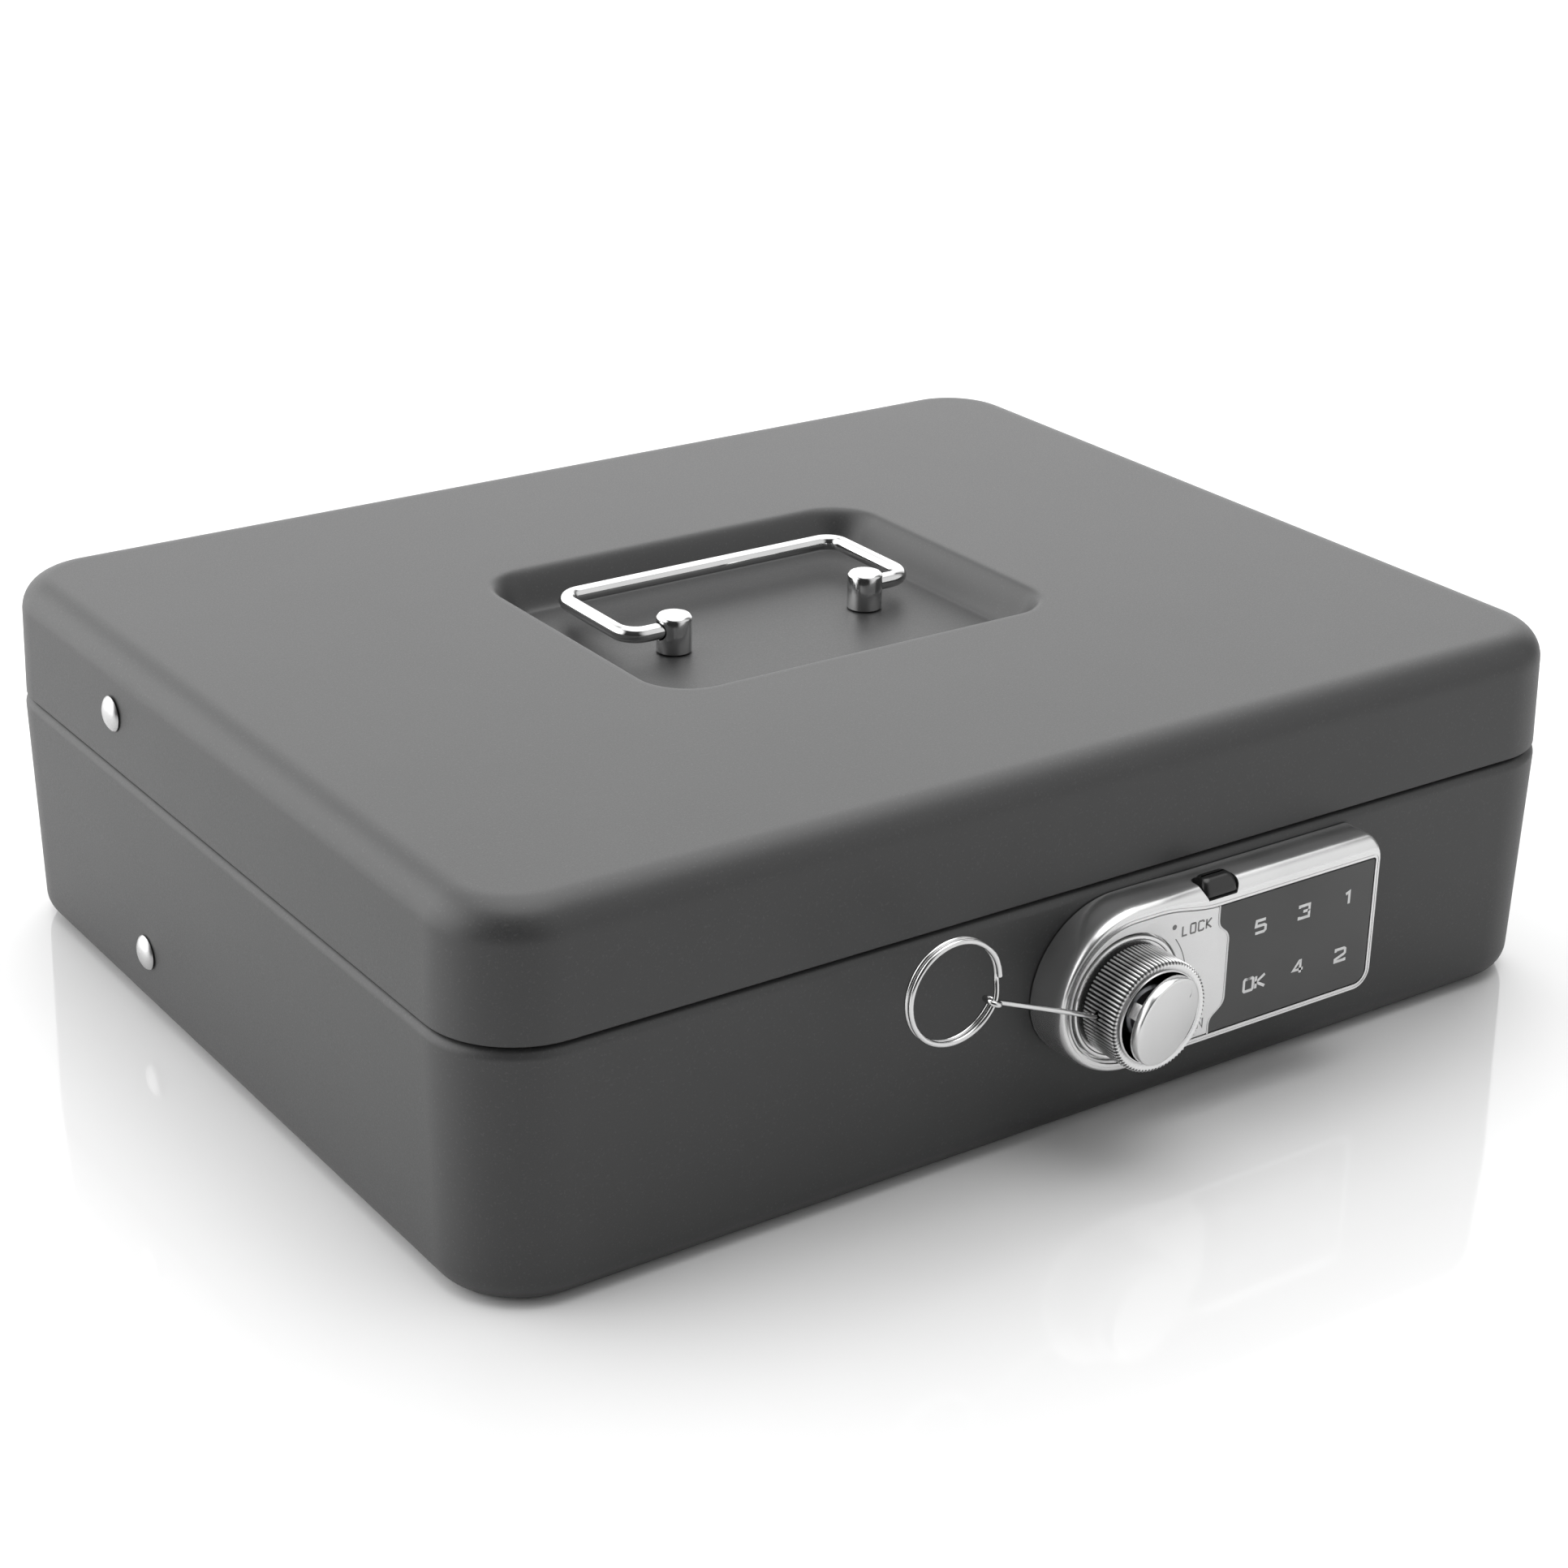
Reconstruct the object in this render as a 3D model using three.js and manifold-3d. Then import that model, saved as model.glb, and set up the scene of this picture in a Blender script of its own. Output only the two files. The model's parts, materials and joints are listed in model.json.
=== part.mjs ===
// A 300 mm steel cash box: a base and a hinged lid in painted sheet, a cantilever coin tray that
// rises with the lid, a recessed bail handle, and a surface lock with a touch panel and a knob.
// Millimetres. +Z up, front towards -Y, +X to the right seen from the front.
// The origin is the centre of the base's underside.
import * as THREE from 'three';
import { mergeVertices } from 'three/addons/utils/BufferGeometryUtils.js';
import Module from 'manifold-3d';

const wasm = await Module();
wasm.setup();

// ---------------------------------------------------------------- driving dimensions
const BOX = { width: 300, depth: 240, height: 89, corner: 20.9, sheet: 1.2 };
const GAP = 0.3; // clearance between pieces that touch
const BASE = {
  top: 57, proud: 0.3, footInset: 0.8, footFillet: 6.4, shoulder: 2.6, lipInset: 2.9, lipTop: 66,
};
const LID = { bottom: 60.1, wallTop: 81, wallTopInset: 0.6, fillet: 8 };
const RECESS = { x: 0, y: 4, width: 108, depth: 85, corner: 11, floor: 80.1, lean: 2.6, fillet: 2.7 };
const HINGE = { y: 122.8, z: 59.3, knuckle: 2.5, pin: 1.2, x: 80, width: 46, middle: 15.4, leaf: 1 };
const POST = { x: 27.8, radius: 4.3, top: 89.4 };
const BAIL = { y: 1.5, z: 86, wire: 2, armX: 40.5, reach: 31.7, bend: 5, endX: 24.8 };
const LID_PIVOT = { y: 50, z: 73.8 };
const BASE_PIVOT = { y: 40, z: 16.8 };
const TRAY = { halfWidth: 141.4, front: -99, rear: 51, bottom: 25, top: 65, corner: 8, wall: 2, floor: 2.5 };
const SIDE = {
  bracket: 142, link: 143.5, plate: 1.2, pinHead: 145, hole: 2.5, shank: 2.2, shoulder: 3.5,
};
const KNOB = { x: 3.8, z: 36.8, rear: -131.6, front: -142, radius: 13, bore: 11.3, ridges: 72, ridge: 0.5 };
const FACE = { y: -130.6, skin: -127.2, plate: 0.7, rim: 1.2 };
const HOUSING = {
  left: { x: 7.1, z: 36, wide: 21.3, high: 21.3, low: 18.1 }, right: 78, top: 57, bottom: 19.2, topCorner: 2.5, bottomCorner: 5.5,
};
const BEZEL = {
  left: { x: 5.9, z: 36.8, wide: 19.1, high: 18.7, low: 17.55 }, right: 77.9, top: 53.3, bottom: 19.3, topCorner: 2, bottomCorner: 4.6,
};
const CASE = { left: -11.4, right: 41, bottom: 25, top: 55.7, front: -117.9, rear: -103 };
const BOLT = { tip: -24, length: 44, bottom: 48, height: 6, front: -112.6, thick: 4 };
const CAM = { front: -116.4, thick: 2.8, hub: 7, crank: 8.5, pin: 2, arm: 12, half: 2.8 };
const TOOL = {
  y: -136, mouthX: -8.7, mouthZ: 38, endX: -37.73, endZ: 49.84, wire: 0.6, ring: 11.4, ringTurn: 4,
};
const COVER = { radius: 10.4, thick: 2.2, hinge: 9.5, hingeAngle: -29, ajar: 13.3 };
const SCREWS = { lower: [3.8, 21.2], upper: [45.5, 51], side: [68.5, 22.4], shank: 1.9, head: 3.6 };
const DRAWER = { left: 44, right: 77.3, bottom: 25.6, top: 47.4, front: -125, rear: -121 };
const CELL = { x: 56, z: 36.5, radius: 10 };
const BUTTON = { x: 30.3, y: -127.55, width: 10, depth: 5.6, bottom: 54.5, top: 58.2 };

// A coin crank turns through the pivots like a parallelogram, so the tray stays level:
// the tray's lower pivot is the base pivot moved by the step from the lid's hinge to its pivot.
const TRAY_PIVOT = {
  y: BASE_PIVOT.y + LID_PIVOT.y - HINGE.y,
  z: BASE_PIVOT.z + LID_PIVOT.z - HINGE.z,
};

// ---------------------------------------------------------------- looks
const look = (color, roughness, metalness) => new THREE.MeshStandardMaterial({ color, roughness, metalness });
const LOOKS = {
  paint: look(0x3c3d3f, 0.55, 0.1),
  chrome: look(0xd8d8d8, 0.12, 1),
  steel: look(0xa9a9a8, 0.35, 1),
  satin: look(0xc4c5c6, 0.38, 0.7),
  legend: look(0xcfd0d1, 0.5, 0.1),
  panel: look(0x434446, 0.45, 0),
  black: look(0x141414, 0.5, 0),
  tray: look(0x26272a, 0.6, 0),
  board: look(0x20573a, 0.6, 0),
  zinc: look(0x8f9296, 0.45, 0.9),
};

// ---------------------------------------------------------------- solids
const AXES = [new THREE.Vector3(1, 0, 0), new THREE.Vector3(0, 1, 0), new THREE.Vector3(0, 0, 1)];
const [X_AXIS, Y_AXIS, Z_AXIS] = AXES;

// A closed geometry becomes a solid once its shared corners are merged and slivers dropped.
function solid(geometry) {
  const bare = new THREE.BufferGeometry();
  bare.setAttribute('position', geometry.getAttribute('position').clone());
  if (geometry.index) bare.setIndex(geometry.index.clone());
  const merged = mergeVertices(bare, 1e-4);
  const kept = [];
  const corners = merged.index.array;
  for (let i = 0; i < corners.length; i += 3) {
    const [a, b, c] = [corners[i], corners[i + 1], corners[i + 2]];
    if (a !== b && b !== c && c !== a) kept.push(a, b, c);
  }
  const mesh = (triangles) => new wasm.Mesh({
    numProp: 3,
    vertProperties: new Float32Array(merged.getAttribute('position').array),
    triVerts: new Uint32Array(triangles),
  });
  const body = new wasm.Manifold(mesh(kept));
  return body.volume() > 0 ? body : new wasm.Manifold(mesh(kept.reverse()));
}

const join = (first, ...rest) => rest.reduce((sum, piece) => sum.add(piece), first);
const cut = (body, ...tools) => tools.reduce((left, tool) => left.subtract(tool), body);

function geometryOf(body) {
  const { vertProperties, triVerts } = body.getMesh();
  const geometry = new THREE.BufferGeometry();
  geometry.setAttribute('position', new THREE.BufferAttribute(new Float32Array(vertProperties), 3));
  geometry.setIndex(new THREE.BufferAttribute(new Uint32Array(triVerts), 1));
  geometry.computeVertexNormals();
  return geometry;
}

// ---------------------------------------------------------------- shapes
// Drawing planes: a shape's two directions, and the way its thickness goes.
const PLANES = {
  top: [X_AXIS, Y_AXIS, Z_AXIS],
  side: [Y_AXIS, Z_AXIS, X_AXIS],
  front: [X_AXIS, Z_AXIS, Y_AXIS.clone().negate()],
};

// A flat shape drawn in a plane, from the level `from` to the level `to` along that plane's third axis.
function plate(shape, plane, from, to) {
  const geometry = new THREE.ExtrudeGeometry(shape, {
    depth: Math.abs(to - from), bevelEnabled: false, curveSegments: 6,
  });
  const start = plane === 'front' ? Math.max(from, to) : Math.min(from, to);
  const place = new THREE.Matrix4().makeBasis(...PLANES[plane]);
  const level = { top: Z_AXIS, side: X_AXIS, front: Y_AXIS }[plane].clone().multiplyScalar(start);
  return solid(geometry.applyMatrix4(place.setPosition(level)));
}

function box(x0, x1, y0, y1, z0, z1) {
  const geometry = new THREE.BoxGeometry(x1 - x0, y1 - y0, z1 - z0);
  return solid(geometry.translate((x0 + x1) / 2, (y0 + y1) / 2, (z0 + z1) / 2));
}

// A rod of constant radius between two points.
function rod(from, to, radius, sides = 16) {
  const start = new THREE.Vector3(...from);
  const along = new THREE.Vector3(...to).sub(start);
  const geometry = new THREE.CylinderGeometry(radius, radius, along.length(), sides);
  geometry.applyQuaternion(new THREE.Quaternion().setFromUnitVectors(Y_AXIS, along.clone().normalize()));
  return solid(geometry.translate(...start.addScaledVector(along, 0.5).toArray()));
}

// A profile of [radius, height] points turned about a line through `at` that runs along `way`.
function turned(profile, at, way, sides = 16) {
  const points = profile.map(([r, h]) => new THREE.Vector2(r, h));
  const geometry = new THREE.LatheGeometry(points, sides);
  geometry.applyQuaternion(new THREE.Quaternion().setFromUnitVectors(Y_AXIS, way));
  return solid(geometry.translate(...at));
}

function shapeOf(points, ...holes) {
  const shape = new THREE.Shape(points.map(([u, v]) => new THREE.Vector2(u, v)));
  for (const [u, v, r] of holes) {
    const hole = new THREE.Path();
    hole.absarc(u, v, r, 0, 2 * Math.PI, true);
    shape.holes.push(hole);
  }
  return shape;
}

const rectangle = (u0, u1, v0, v1) => [[u0, v0], [u1, v0], [u1, v1], [u0, v1]];

// Points of an arc about (u, v), angles in degrees, both ends included.
function arc(u, v, radius, from, to, steps) {
  return Array.from({ length: steps + 1 }, (_, i) => {
    const angle = THREE.MathUtils.degToRad(from + ((to - from) * i) / steps);
    return [u + radius * Math.cos(angle), v + radius * Math.sin(angle)];
  });
}

function roundedRectangle(width, depth, radius, [u, v] = [0, 0], steps = 7) {
  const r = Math.max(radius, 0.5);
  const [a, b] = [width / 2 - r, depth / 2 - r];
  const corners = [[a, b, 0], [-a, b, 90], [-a, -b, 180], [a, -b, 270]];
  return corners.flatMap(([du, dv, start]) => arc(u + du, v + dv, r, start, start + 90, steps));
}

// A bar with round ends about two points, and with a hole at each where a hole radius is given.
function roundBar([u0, v0], [u1, v1], half, hole) {
  const lean = THREE.MathUtils.radToDeg(Math.atan2(v1 - v0, u1 - u0));
  const outline = [
    ...arc(u0, v0, half, lean + 90, lean + 270, 6),
    ...arc(u1, v1, half, lean - 90, lean + 90, 6),
  ];
  return hole ? shapeOf(outline, [u0, v0, hole], [u1, v1, hole]) : shapeOf(outline);
}

// A skin through a stack of outlines with equally many points, closed by a flat end at each end.
function loft(rings, place = ([u, v], level) => [u, v, level]) {
  const count = rings[0].outline.length;
  const positions = rings.flatMap(({ outline, level }) => outline.flatMap((point) => place(point, level)));
  const faces = [];
  for (let ring = 0; ring + 1 < rings.length; ring += 1) {
    for (let i = 0; i < count; i += 1) {
      const [a, b] = [ring * count + i, ring * count + ((i + 1) % count)];
      faces.push(a, b, b + count, a, b + count, a + count);
    }
  }
  const last = (rings.length - 1) * count;
  for (let i = 1; i + 1 < count; i += 1) {
    faces.push(0, i + 1, i, last, last + i, last + i + 1);
  }
  const geometry = new THREE.BufferGeometry();
  geometry.setAttribute('position', new THREE.Float32BufferAttribute(positions, 3));
  geometry.setIndex(faces);
  return solid(geometry);
}

const frontward = ([u, v], level) => [u, level, v];

// A round bar bent along a list of points.
function bentWire(points, radius, steps, sides = 8) {
  const path = new THREE.CatmullRomCurve3(points.map((p) => new THREE.Vector3(...p)), false, 'centripetal');
  const section = shapeOf(arc(0, 0, radius, 0, 360, sides).slice(0, -1));
  return solid(new THREE.ExtrudeGeometry(section, { steps, bevelEnabled: false, extrudePath: path }));
}

// ---------------------------------------------------------------- shells
// The box's plan, brought in by `inset` all round.
const plan = (inset) => roundedRectangle(
  BOX.width - 2 * inset, BOX.depth - 2 * inset, BOX.corner - inset,
);
const baseInset = (z) => {
  const share = (BASE.top - z) / (BASE.top - BASE.footFillet);
  return -BASE.proud + share * (BASE.footInset + BASE.proud);
};
const lidInset = (z) => (LID.wallTopInset * (z - LID.bottom)) / (LID.wallTop - LID.bottom);

// Rings round a quarter turn, from one inset and level to another. `early` is 1 where the
// inset changes first and 0 where the level does.
function bend(inset0, level0, inset1, level1, early, steps = 4) {
  return Array.from({ length: steps + 1 }, (_, i) => {
    const angle = (Math.PI / 2) * (i / steps);
    const [lead, lag] = [Math.sin(angle), 1 - Math.cos(angle)];
    return {
      outline: plan(inset0 + (inset1 - inset0) * (early ? lead : lag)),
      level: level0 + (level1 - level0) * (early ? lag : lead),
    };
  });
}

const ringAt = (inset, level) => ({ outline: plan(inset), level });

function baseOutside(grow) {
  const foot = BASE.footInset - grow;
  return [
    ...bend(foot + BASE.footFillet, -grow, foot, BASE.footFillet, 1),
    ringAt(-BASE.proud - grow, BASE.top),
  ];
}

function baseShell() {
  const { sheet } = BOX;
  const shoulderTop = BASE.top + BASE.shoulder;
  const inner = BASE.lipInset - BASE.proud + sheet;
  const footInner = BASE.footInset + sheet;
  const rings = [
    ...baseOutside(0),
    ...bend(-BASE.proud, BASE.top, BASE.lipInset - BASE.proud, shoulderTop, 0).slice(1),
    ringAt(BASE.lipInset - BASE.proud, BASE.lipTop),
    ringAt(inner, BASE.lipTop),
    ringAt(inner, shoulderTop - sheet),
    ringAt(baseInset(BASE.top) + sheet, BASE.top - sheet),
    ...bend(footInner, BASE.footFillet, footInner + BASE.footFillet - sheet, sheet, 0),
  ];
  const wallHoles = [[...SCREWS.lower, 2.2], [...SCREWS.upper, 2.2], [...SCREWS.side, 2.2],
    [KNOB.x, KNOB.z, 7.3], [34, 40, 1.8]];
  const tools = wallHoles.map(([x, z, r]) => rod([x, -125, z], [x, -110, z], r));
  const pivots = rod([-160, BASE_PIVOT.y, BASE_PIVOT.z], [-140, BASE_PIVOT.y, BASE_PIVOT.z], SIDE.hole);
  const farPivot = rod([140, BASE_PIVOT.y, BASE_PIVOT.z], [160, BASE_PIVOT.y, BASE_PIVOT.z], SIDE.hole);
  return cut(loft(rings), ...tools, pivots, farPivot);
}

// Outlines of the recess, from its lip in the lid's top down to its floor. `grow` is the sheet
// thickness for the underside.
function recessRings(grow) {
  const { x, y, width, depth, corner, floor, lean, fillet } = RECESS;
  const ring = (inset, level) => ({
    outline: roundedRectangle(
      width + 2 * (grow - inset), depth + 2 * (grow - inset), corner + grow - inset, [x, y],
    ),
    level: level - grow,
  });
  const quarter = [0, 1, 2, 3].map((i) => (i * Math.PI) / 6);
  const r = fillet;
  return [
    ...quarter.map((a) => ring(r * (1 - Math.cos(a)) + lean, floor + r * (1 - Math.sin(a)))).reverse(),
    ...quarter.map((a) => ring(-r * (1 - Math.cos(a)), BOX.height - r * (1 - Math.sin(a)))),
  ];
}

function lidShell() {
  const { sheet, height } = BOX;
  const topInset = LID.wallTopInset;
  const rings = [
    ...recessRings(sheet),
    ...bend(topInset + LID.fillet, height - sheet, topInset + sheet, LID.wallTop, 1),
    ringAt(lidInset(LID.bottom) + sheet, LID.bottom),
    ringAt(lidInset(LID.bottom), LID.bottom),
    ...bend(topInset, LID.wallTop, topInset + LID.fillet, height, 0, 5),
    ...recessRings(0).reverse(),
  ];
  const postHoles = [-POST.x, POST.x].map((x) => rod([x, BAIL.y, 74], [x, BAIL.y, 84], 2.3, 16));
  const pivots = [[-160, -140], [140, 160]].map(([a, b]) => rod(
    [a, LID_PIVOT.y, LID_PIVOT.z], [b, LID_PIVOT.y, LID_PIVOT.z], SIDE.hole,
  ));
  return cut(loft(rings), ...postHoles, ...pivots);
}

// ---------------------------------------------------------------- rear hinges
const onHinge = (from, to, radius) => rod([from, HINGE.y, HINGE.z], [to, HINGE.y, HINGE.z], radius);
const hingeTube = (from, to, x) => onHinge(x + from, x + to, HINGE.knuckle);
const hingeBore = (x) => onHinge(x - HINGE.width, x + HINGE.width, HINGE.pin + GAP);

function baseLeaf(x) {
  const [half, mid] = [HINGE.width / 2, HINGE.middle / 2 + GAP];
  const outline = [
    [-half, 44], [half, 44], [half, 57.8], [mid, 57.8],
    [mid, 56.2], [-mid, 56.2], [-mid, 57.8], [-half, 57.8],
  ].map(([u, v]) => [u + x, v]);
  const leaf = plate(shapeOf(outline), 'front', 120.6, 120.6 + HINGE.leaf);
  return cut(join(leaf, hingeTube(-half, -mid, x), hingeTube(mid, half, x)), hingeBore(x));
}

function lidLeaf(x) {
  const [half, mid] = [HINGE.width / 2, HINGE.middle / 2];
  const outline = [
    [-half, 62.4], [-mid, 62.4], [-mid, 60.9], [mid, 60.9],
    [mid, 62.4], [half, 62.4], [half, 74], [-half, 74],
  ].map(([u, v]) => [u + x, v]);
  const leaf = plate(shapeOf(outline), 'front', 120.3, 120.3 + HINGE.leaf);
  return cut(join(leaf, hingeTube(-mid, mid, x)), hingeBore(x));
}

const hingePin = (x) => onHinge(x - HINGE.width / 2, x + HINGE.width / 2, HINGE.pin);

// ---------------------------------------------------------------- handle
function handlePost(x) {
  const { radius: r, top } = POST;
  const foot = RECESS.floor + GAP;
  const profile = [[0, foot], [r, foot], [r, top - 0.6], [r - 0.6, top], [0, top]];
  const inward = Math.sign(x) * BAIL.endX - Math.sign(x) * 0.6;
  const cross = rod([inward, BAIL.y, BAIL.z], [Math.sign(x) * 40, BAIL.y, BAIL.z], BAIL.wire + GAP, 16);
  const thread = rod([x, BAIL.y, foot - 1], [x, BAIL.y, BAIL.z - 3.2], SCREWS.shank + GAP, 16);
  return cut(turned(profile, [x, BAIL.y, 0], Z_AXIS), cross, thread);
}

// A round-headed screw. Its head's flat underside is at `seat`, and its shank runs along `way`.
function screw(seat, way, length, head = SCREWS.head, shank = SCREWS.shank) {
  const profile = [
    [0, -2.2], [head * 0.6, -1.9], [head, -0.9], [head, 0], [shank, 0], [shank, length], [0, length],
  ];
  return turned(profile, seat, way, 16);
}

const postScrew = (x) => screw([x, BAIL.y, RECESS.floor - BOX.sheet - GAP], Z_AXIS, 3.3);

// The wire's centre line: in at one post, out to the arm, back, across and in at the other post.
function bailRoute() {
  const { y, z, armX, reach, bend: r, endX } = BAIL;
  const corner = (cx, cy, from, to) => arc(cx, cy, r, from, to, 6);
  const half = [
    [-endX, y], [-armX + 2 * r, y],
    ...corner(-armX + r, y + r, 270, 180),
    [-armX, y + reach / 2],
    ...corner(-armX + r, y + reach - r, 180, 90),
  ];
  const mirrored = half.map(([u, v]) => [-u, v]).reverse();
  return [...half, [0, y + reach], ...mirrored].map(([u, v]) => [u, v, z]);
}

// ---------------------------------------------------------------- cantilever tray
// Two stepped rivets on each side carry the tray: one through the lid's wall, one through the base's.
function pivotRivet(side, pivot, wall, carried) {
  const outside = wall + GAP;
  const { shank, shoulder, plate: thick } = SIDE;
  const inside = wall - BOX.sheet - GAP;
  const profile = [
    [0, outside + 1.7], [2.2, outside + 1.45], [3.6, outside + 0.8], [4.25, outside], [shank, outside],
    [shank, inside], [shoulder, inside], [shoulder, carried + thick + GAP], [shank, carried + thick + GAP],
    [shank, carried - GAP], [shoulder, carried - GAP], [shoulder, carried - 1.2], [0, carried - 1.2],
  ];
  return turned(profile, [0, pivot.y, pivot.z], X_AXIS.clone().multiplyScalar(side));
}

const lidRivet = (side) => pivotRivet(side, LID_PIVOT, BOX.width / 2 - lidInset(LID_PIVOT.z), SIDE.bracket);
const baseRivet = (side) => pivotRivet(side, BASE_PIVOT, BOX.width / 2 - baseInset(BASE_PIVOT.z), SIDE.link);

// Levels of a side plate whose inner face is at `level` from the middle of the box.
const sidePlate = (shape, side, level) => plate(shape, 'side', side * level, side * (level + SIDE.plate));

const trayLink = (side) => sidePlate(
  roundBar([BASE_PIVOT.y, BASE_PIVOT.z], [TRAY_PIVOT.y, TRAY_PIVOT.z], 5.5, SIDE.hole), side, SIDE.link,
);

const BRACKET_RIVETS = [[-6, 52], [34, 53]];

function trayBracket(side) {
  const { y: y0, z: z0 } = TRAY_PIVOT;
  const { y: y1, z: z1 } = LID_PIVOT;
  const outline = [
    ...arc(y0, z0, 6, 110, 280, 8),
    [28, 42], [45, 50],
    ...arc(y1, z1, 6, -30, 110, 8),
    [26, 63], [-26, 60],
  ];
  const holes = [[y0, z0, SIDE.hole], [y1, z1, SIDE.hole], ...BRACKET_RIVETS.map(([u, v]) => [u, v, 1.9])];
  return sidePlate(shapeOf(outline, ...holes), side, SIDE.bracket);
}

function trayPin(side) {
  const { bracket, pinHead, shank, shoulder } = SIDE;
  const profile = [
    [0, bracket], [shank, bracket], [shank, pinHead],
    [shoulder, pinHead], [shoulder, pinHead + 0.8], [0, pinHead + 0.8],
  ];
  return turned(profile, [0, TRAY_PIVOT.y, TRAY_PIVOT.z], X_AXIS.clone().multiplyScalar(side));
}

function bracketRivet(side, [y, z]) {
  const outside = SIDE.bracket + SIDE.plate + GAP;
  const inside = TRAY.halfWidth - TRAY.wall - 0.9;
  const profile = [
    [0, inside - 1], [2.8, inside - 0.5], [2.8, inside], [1.6, inside],
    [1.6, outside], [2.8, outside], [2.4, outside + 0.6], [0, outside + 0.8],
  ];
  return turned(profile, [0, y, z], X_AXIS.clone().multiplyScalar(side), 14);
}

// Compartments: five coin cups along the front and two long ones behind.
function trayCompartments() {
  const { halfWidth, front, rear, wall } = TRAY;
  const divide = 4 + (front + rear) / 2;
  const row = (count, y0, y1) => Array.from({ length: count }, (_, i) => {
    const pitch = (2 * halfWidth - wall) / count;
    const x0 = -halfWidth + wall + i * pitch;
    return { x0, x1: x0 + pitch - wall, y0, y1 };
  });
  return [...row(5, front + wall, divide - wall / 2), ...row(2, divide + wall / 2, rear - wall)];
}

function coinTray() {
  const { halfWidth, front, rear, bottom, top, corner, floor } = TRAY;
  const centre = [0, (front + rear) / 2];
  const skirt = (inset, level) => ({
    outline: roundedRectangle(2 * (halfWidth - inset), rear - front - 2 * inset, corner - inset, centre, 4),
    level,
  });
  const body = loft([skirt(3, bottom), skirt(0.8, bottom + 2.5), skirt(0, top)]);
  const rivetHoles = [-1, 1].flatMap((side) => BRACKET_RIVETS.map(([y, z]) => rod(
    [side * 130, y, z], [side * 150, y, z], 1.9, 14,
  )));
  const pockets = trayCompartments().map(({ x0, x1, y0, y1 }) => {
    const middle = [(x0 + x1) / 2, (y0 + y1) / 2];
    const ring = (inset, level) => ({
      outline: roundedRectangle(x1 - x0 - 2 * inset, y1 - y0 - 2 * inset, 6, middle, 3),
      level,
    });
    const base = bottom + floor;
    return loft([ring(9, base), ring(3.2, base + 2.6), ring(1, base + 8), ring(0, top + 1)]);
  });
  return cut(body, ...pockets, ...rivetHoles);
}

// ---------------------------------------------------------------- lock housing
// A face shape: a round left end, which eases into straight top and bottom edges, and two corners
// at the right.
function lockOutline({ left, right, top, bottom, topCorner, bottomCorner }, inset = 0) {
  const edge = right - inset;
  const [c1, c2] = [Math.max(topCorner - inset, 0.6), Math.max(bottomCorner - inset, 0.6)];
  const ease = (from, to, share) => from + ((to - from) * (1 - Math.cos(Math.PI * share))) / 2;
  const shares = [0, 0.2, 0.4, 0.6, 0.8, 1];
  const [wide, high, low] = [left.wide - inset, left.high - inset, left.low - inset];
  const topEase = shares.map((t) => [12 + 17.5 * t, ease(left.z + high, top - inset, t)]).reverse();
  const bottomEase = shares.map((t) => [11 + 12 * t, ease(left.z - low, bottom + inset, t)]);
  const roundEnd = arc(0, 0, 1, 90, 270, 16)
    .map(([u, v]) => [left.x + wide * u, left.z + (v > 0 ? high : low) * v]);
  return [
    ...arc(edge - c2, bottom + inset + c2, c2, -90, 0, 4),
    ...arc(edge - c1, top - inset - c1, c1, 0, 90, 3),
    ...topEase, ...roundEnd, ...bottomEase,
  ];
}

// The outline part way from the housing's foot to its face.
function blendOutline(share, inset = 0) {
  const foot = lockOutline(HOUSING, inset);
  const face = lockOutline(BEZEL, inset);
  return foot.map(([u, v], i) => [u + (face[i][0] - u) * share, v + (face[i][1] - v) * share]);
}

function housingBody(inset, back, front) {
  const depth = FACE.skin - front;
  const rings = [0, 1, 2, 3, 4].map((i) => {
    const angle = (Math.PI / 2) * (i / 4);
    return { outline: blendOutline(1 - Math.cos(angle), inset), level: FACE.skin - depth * Math.sin(angle) };
  });
  return loft([{ outline: blendOutline(0, inset), level: back }, ...rings], frontward);
}

// The room inside the housing, behind its front wall.
const housingRoom = (wall) => loft([
  { outline: blendOutline(0, wall), level: -110 }, { outline: blendOutline(0, wall), level: FACE.skin },
], frontward);

const faceSlab = (inset, back, front) => loft([
  { outline: lockOutline(BEZEL, inset), level: back }, { outline: lockOutline(BEZEL, inset), level: front },
], frontward);

const frontRod = (x, z, radius, back, front, sides) => rod([x, back, z], [x, front, z], radius, sides);

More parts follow.
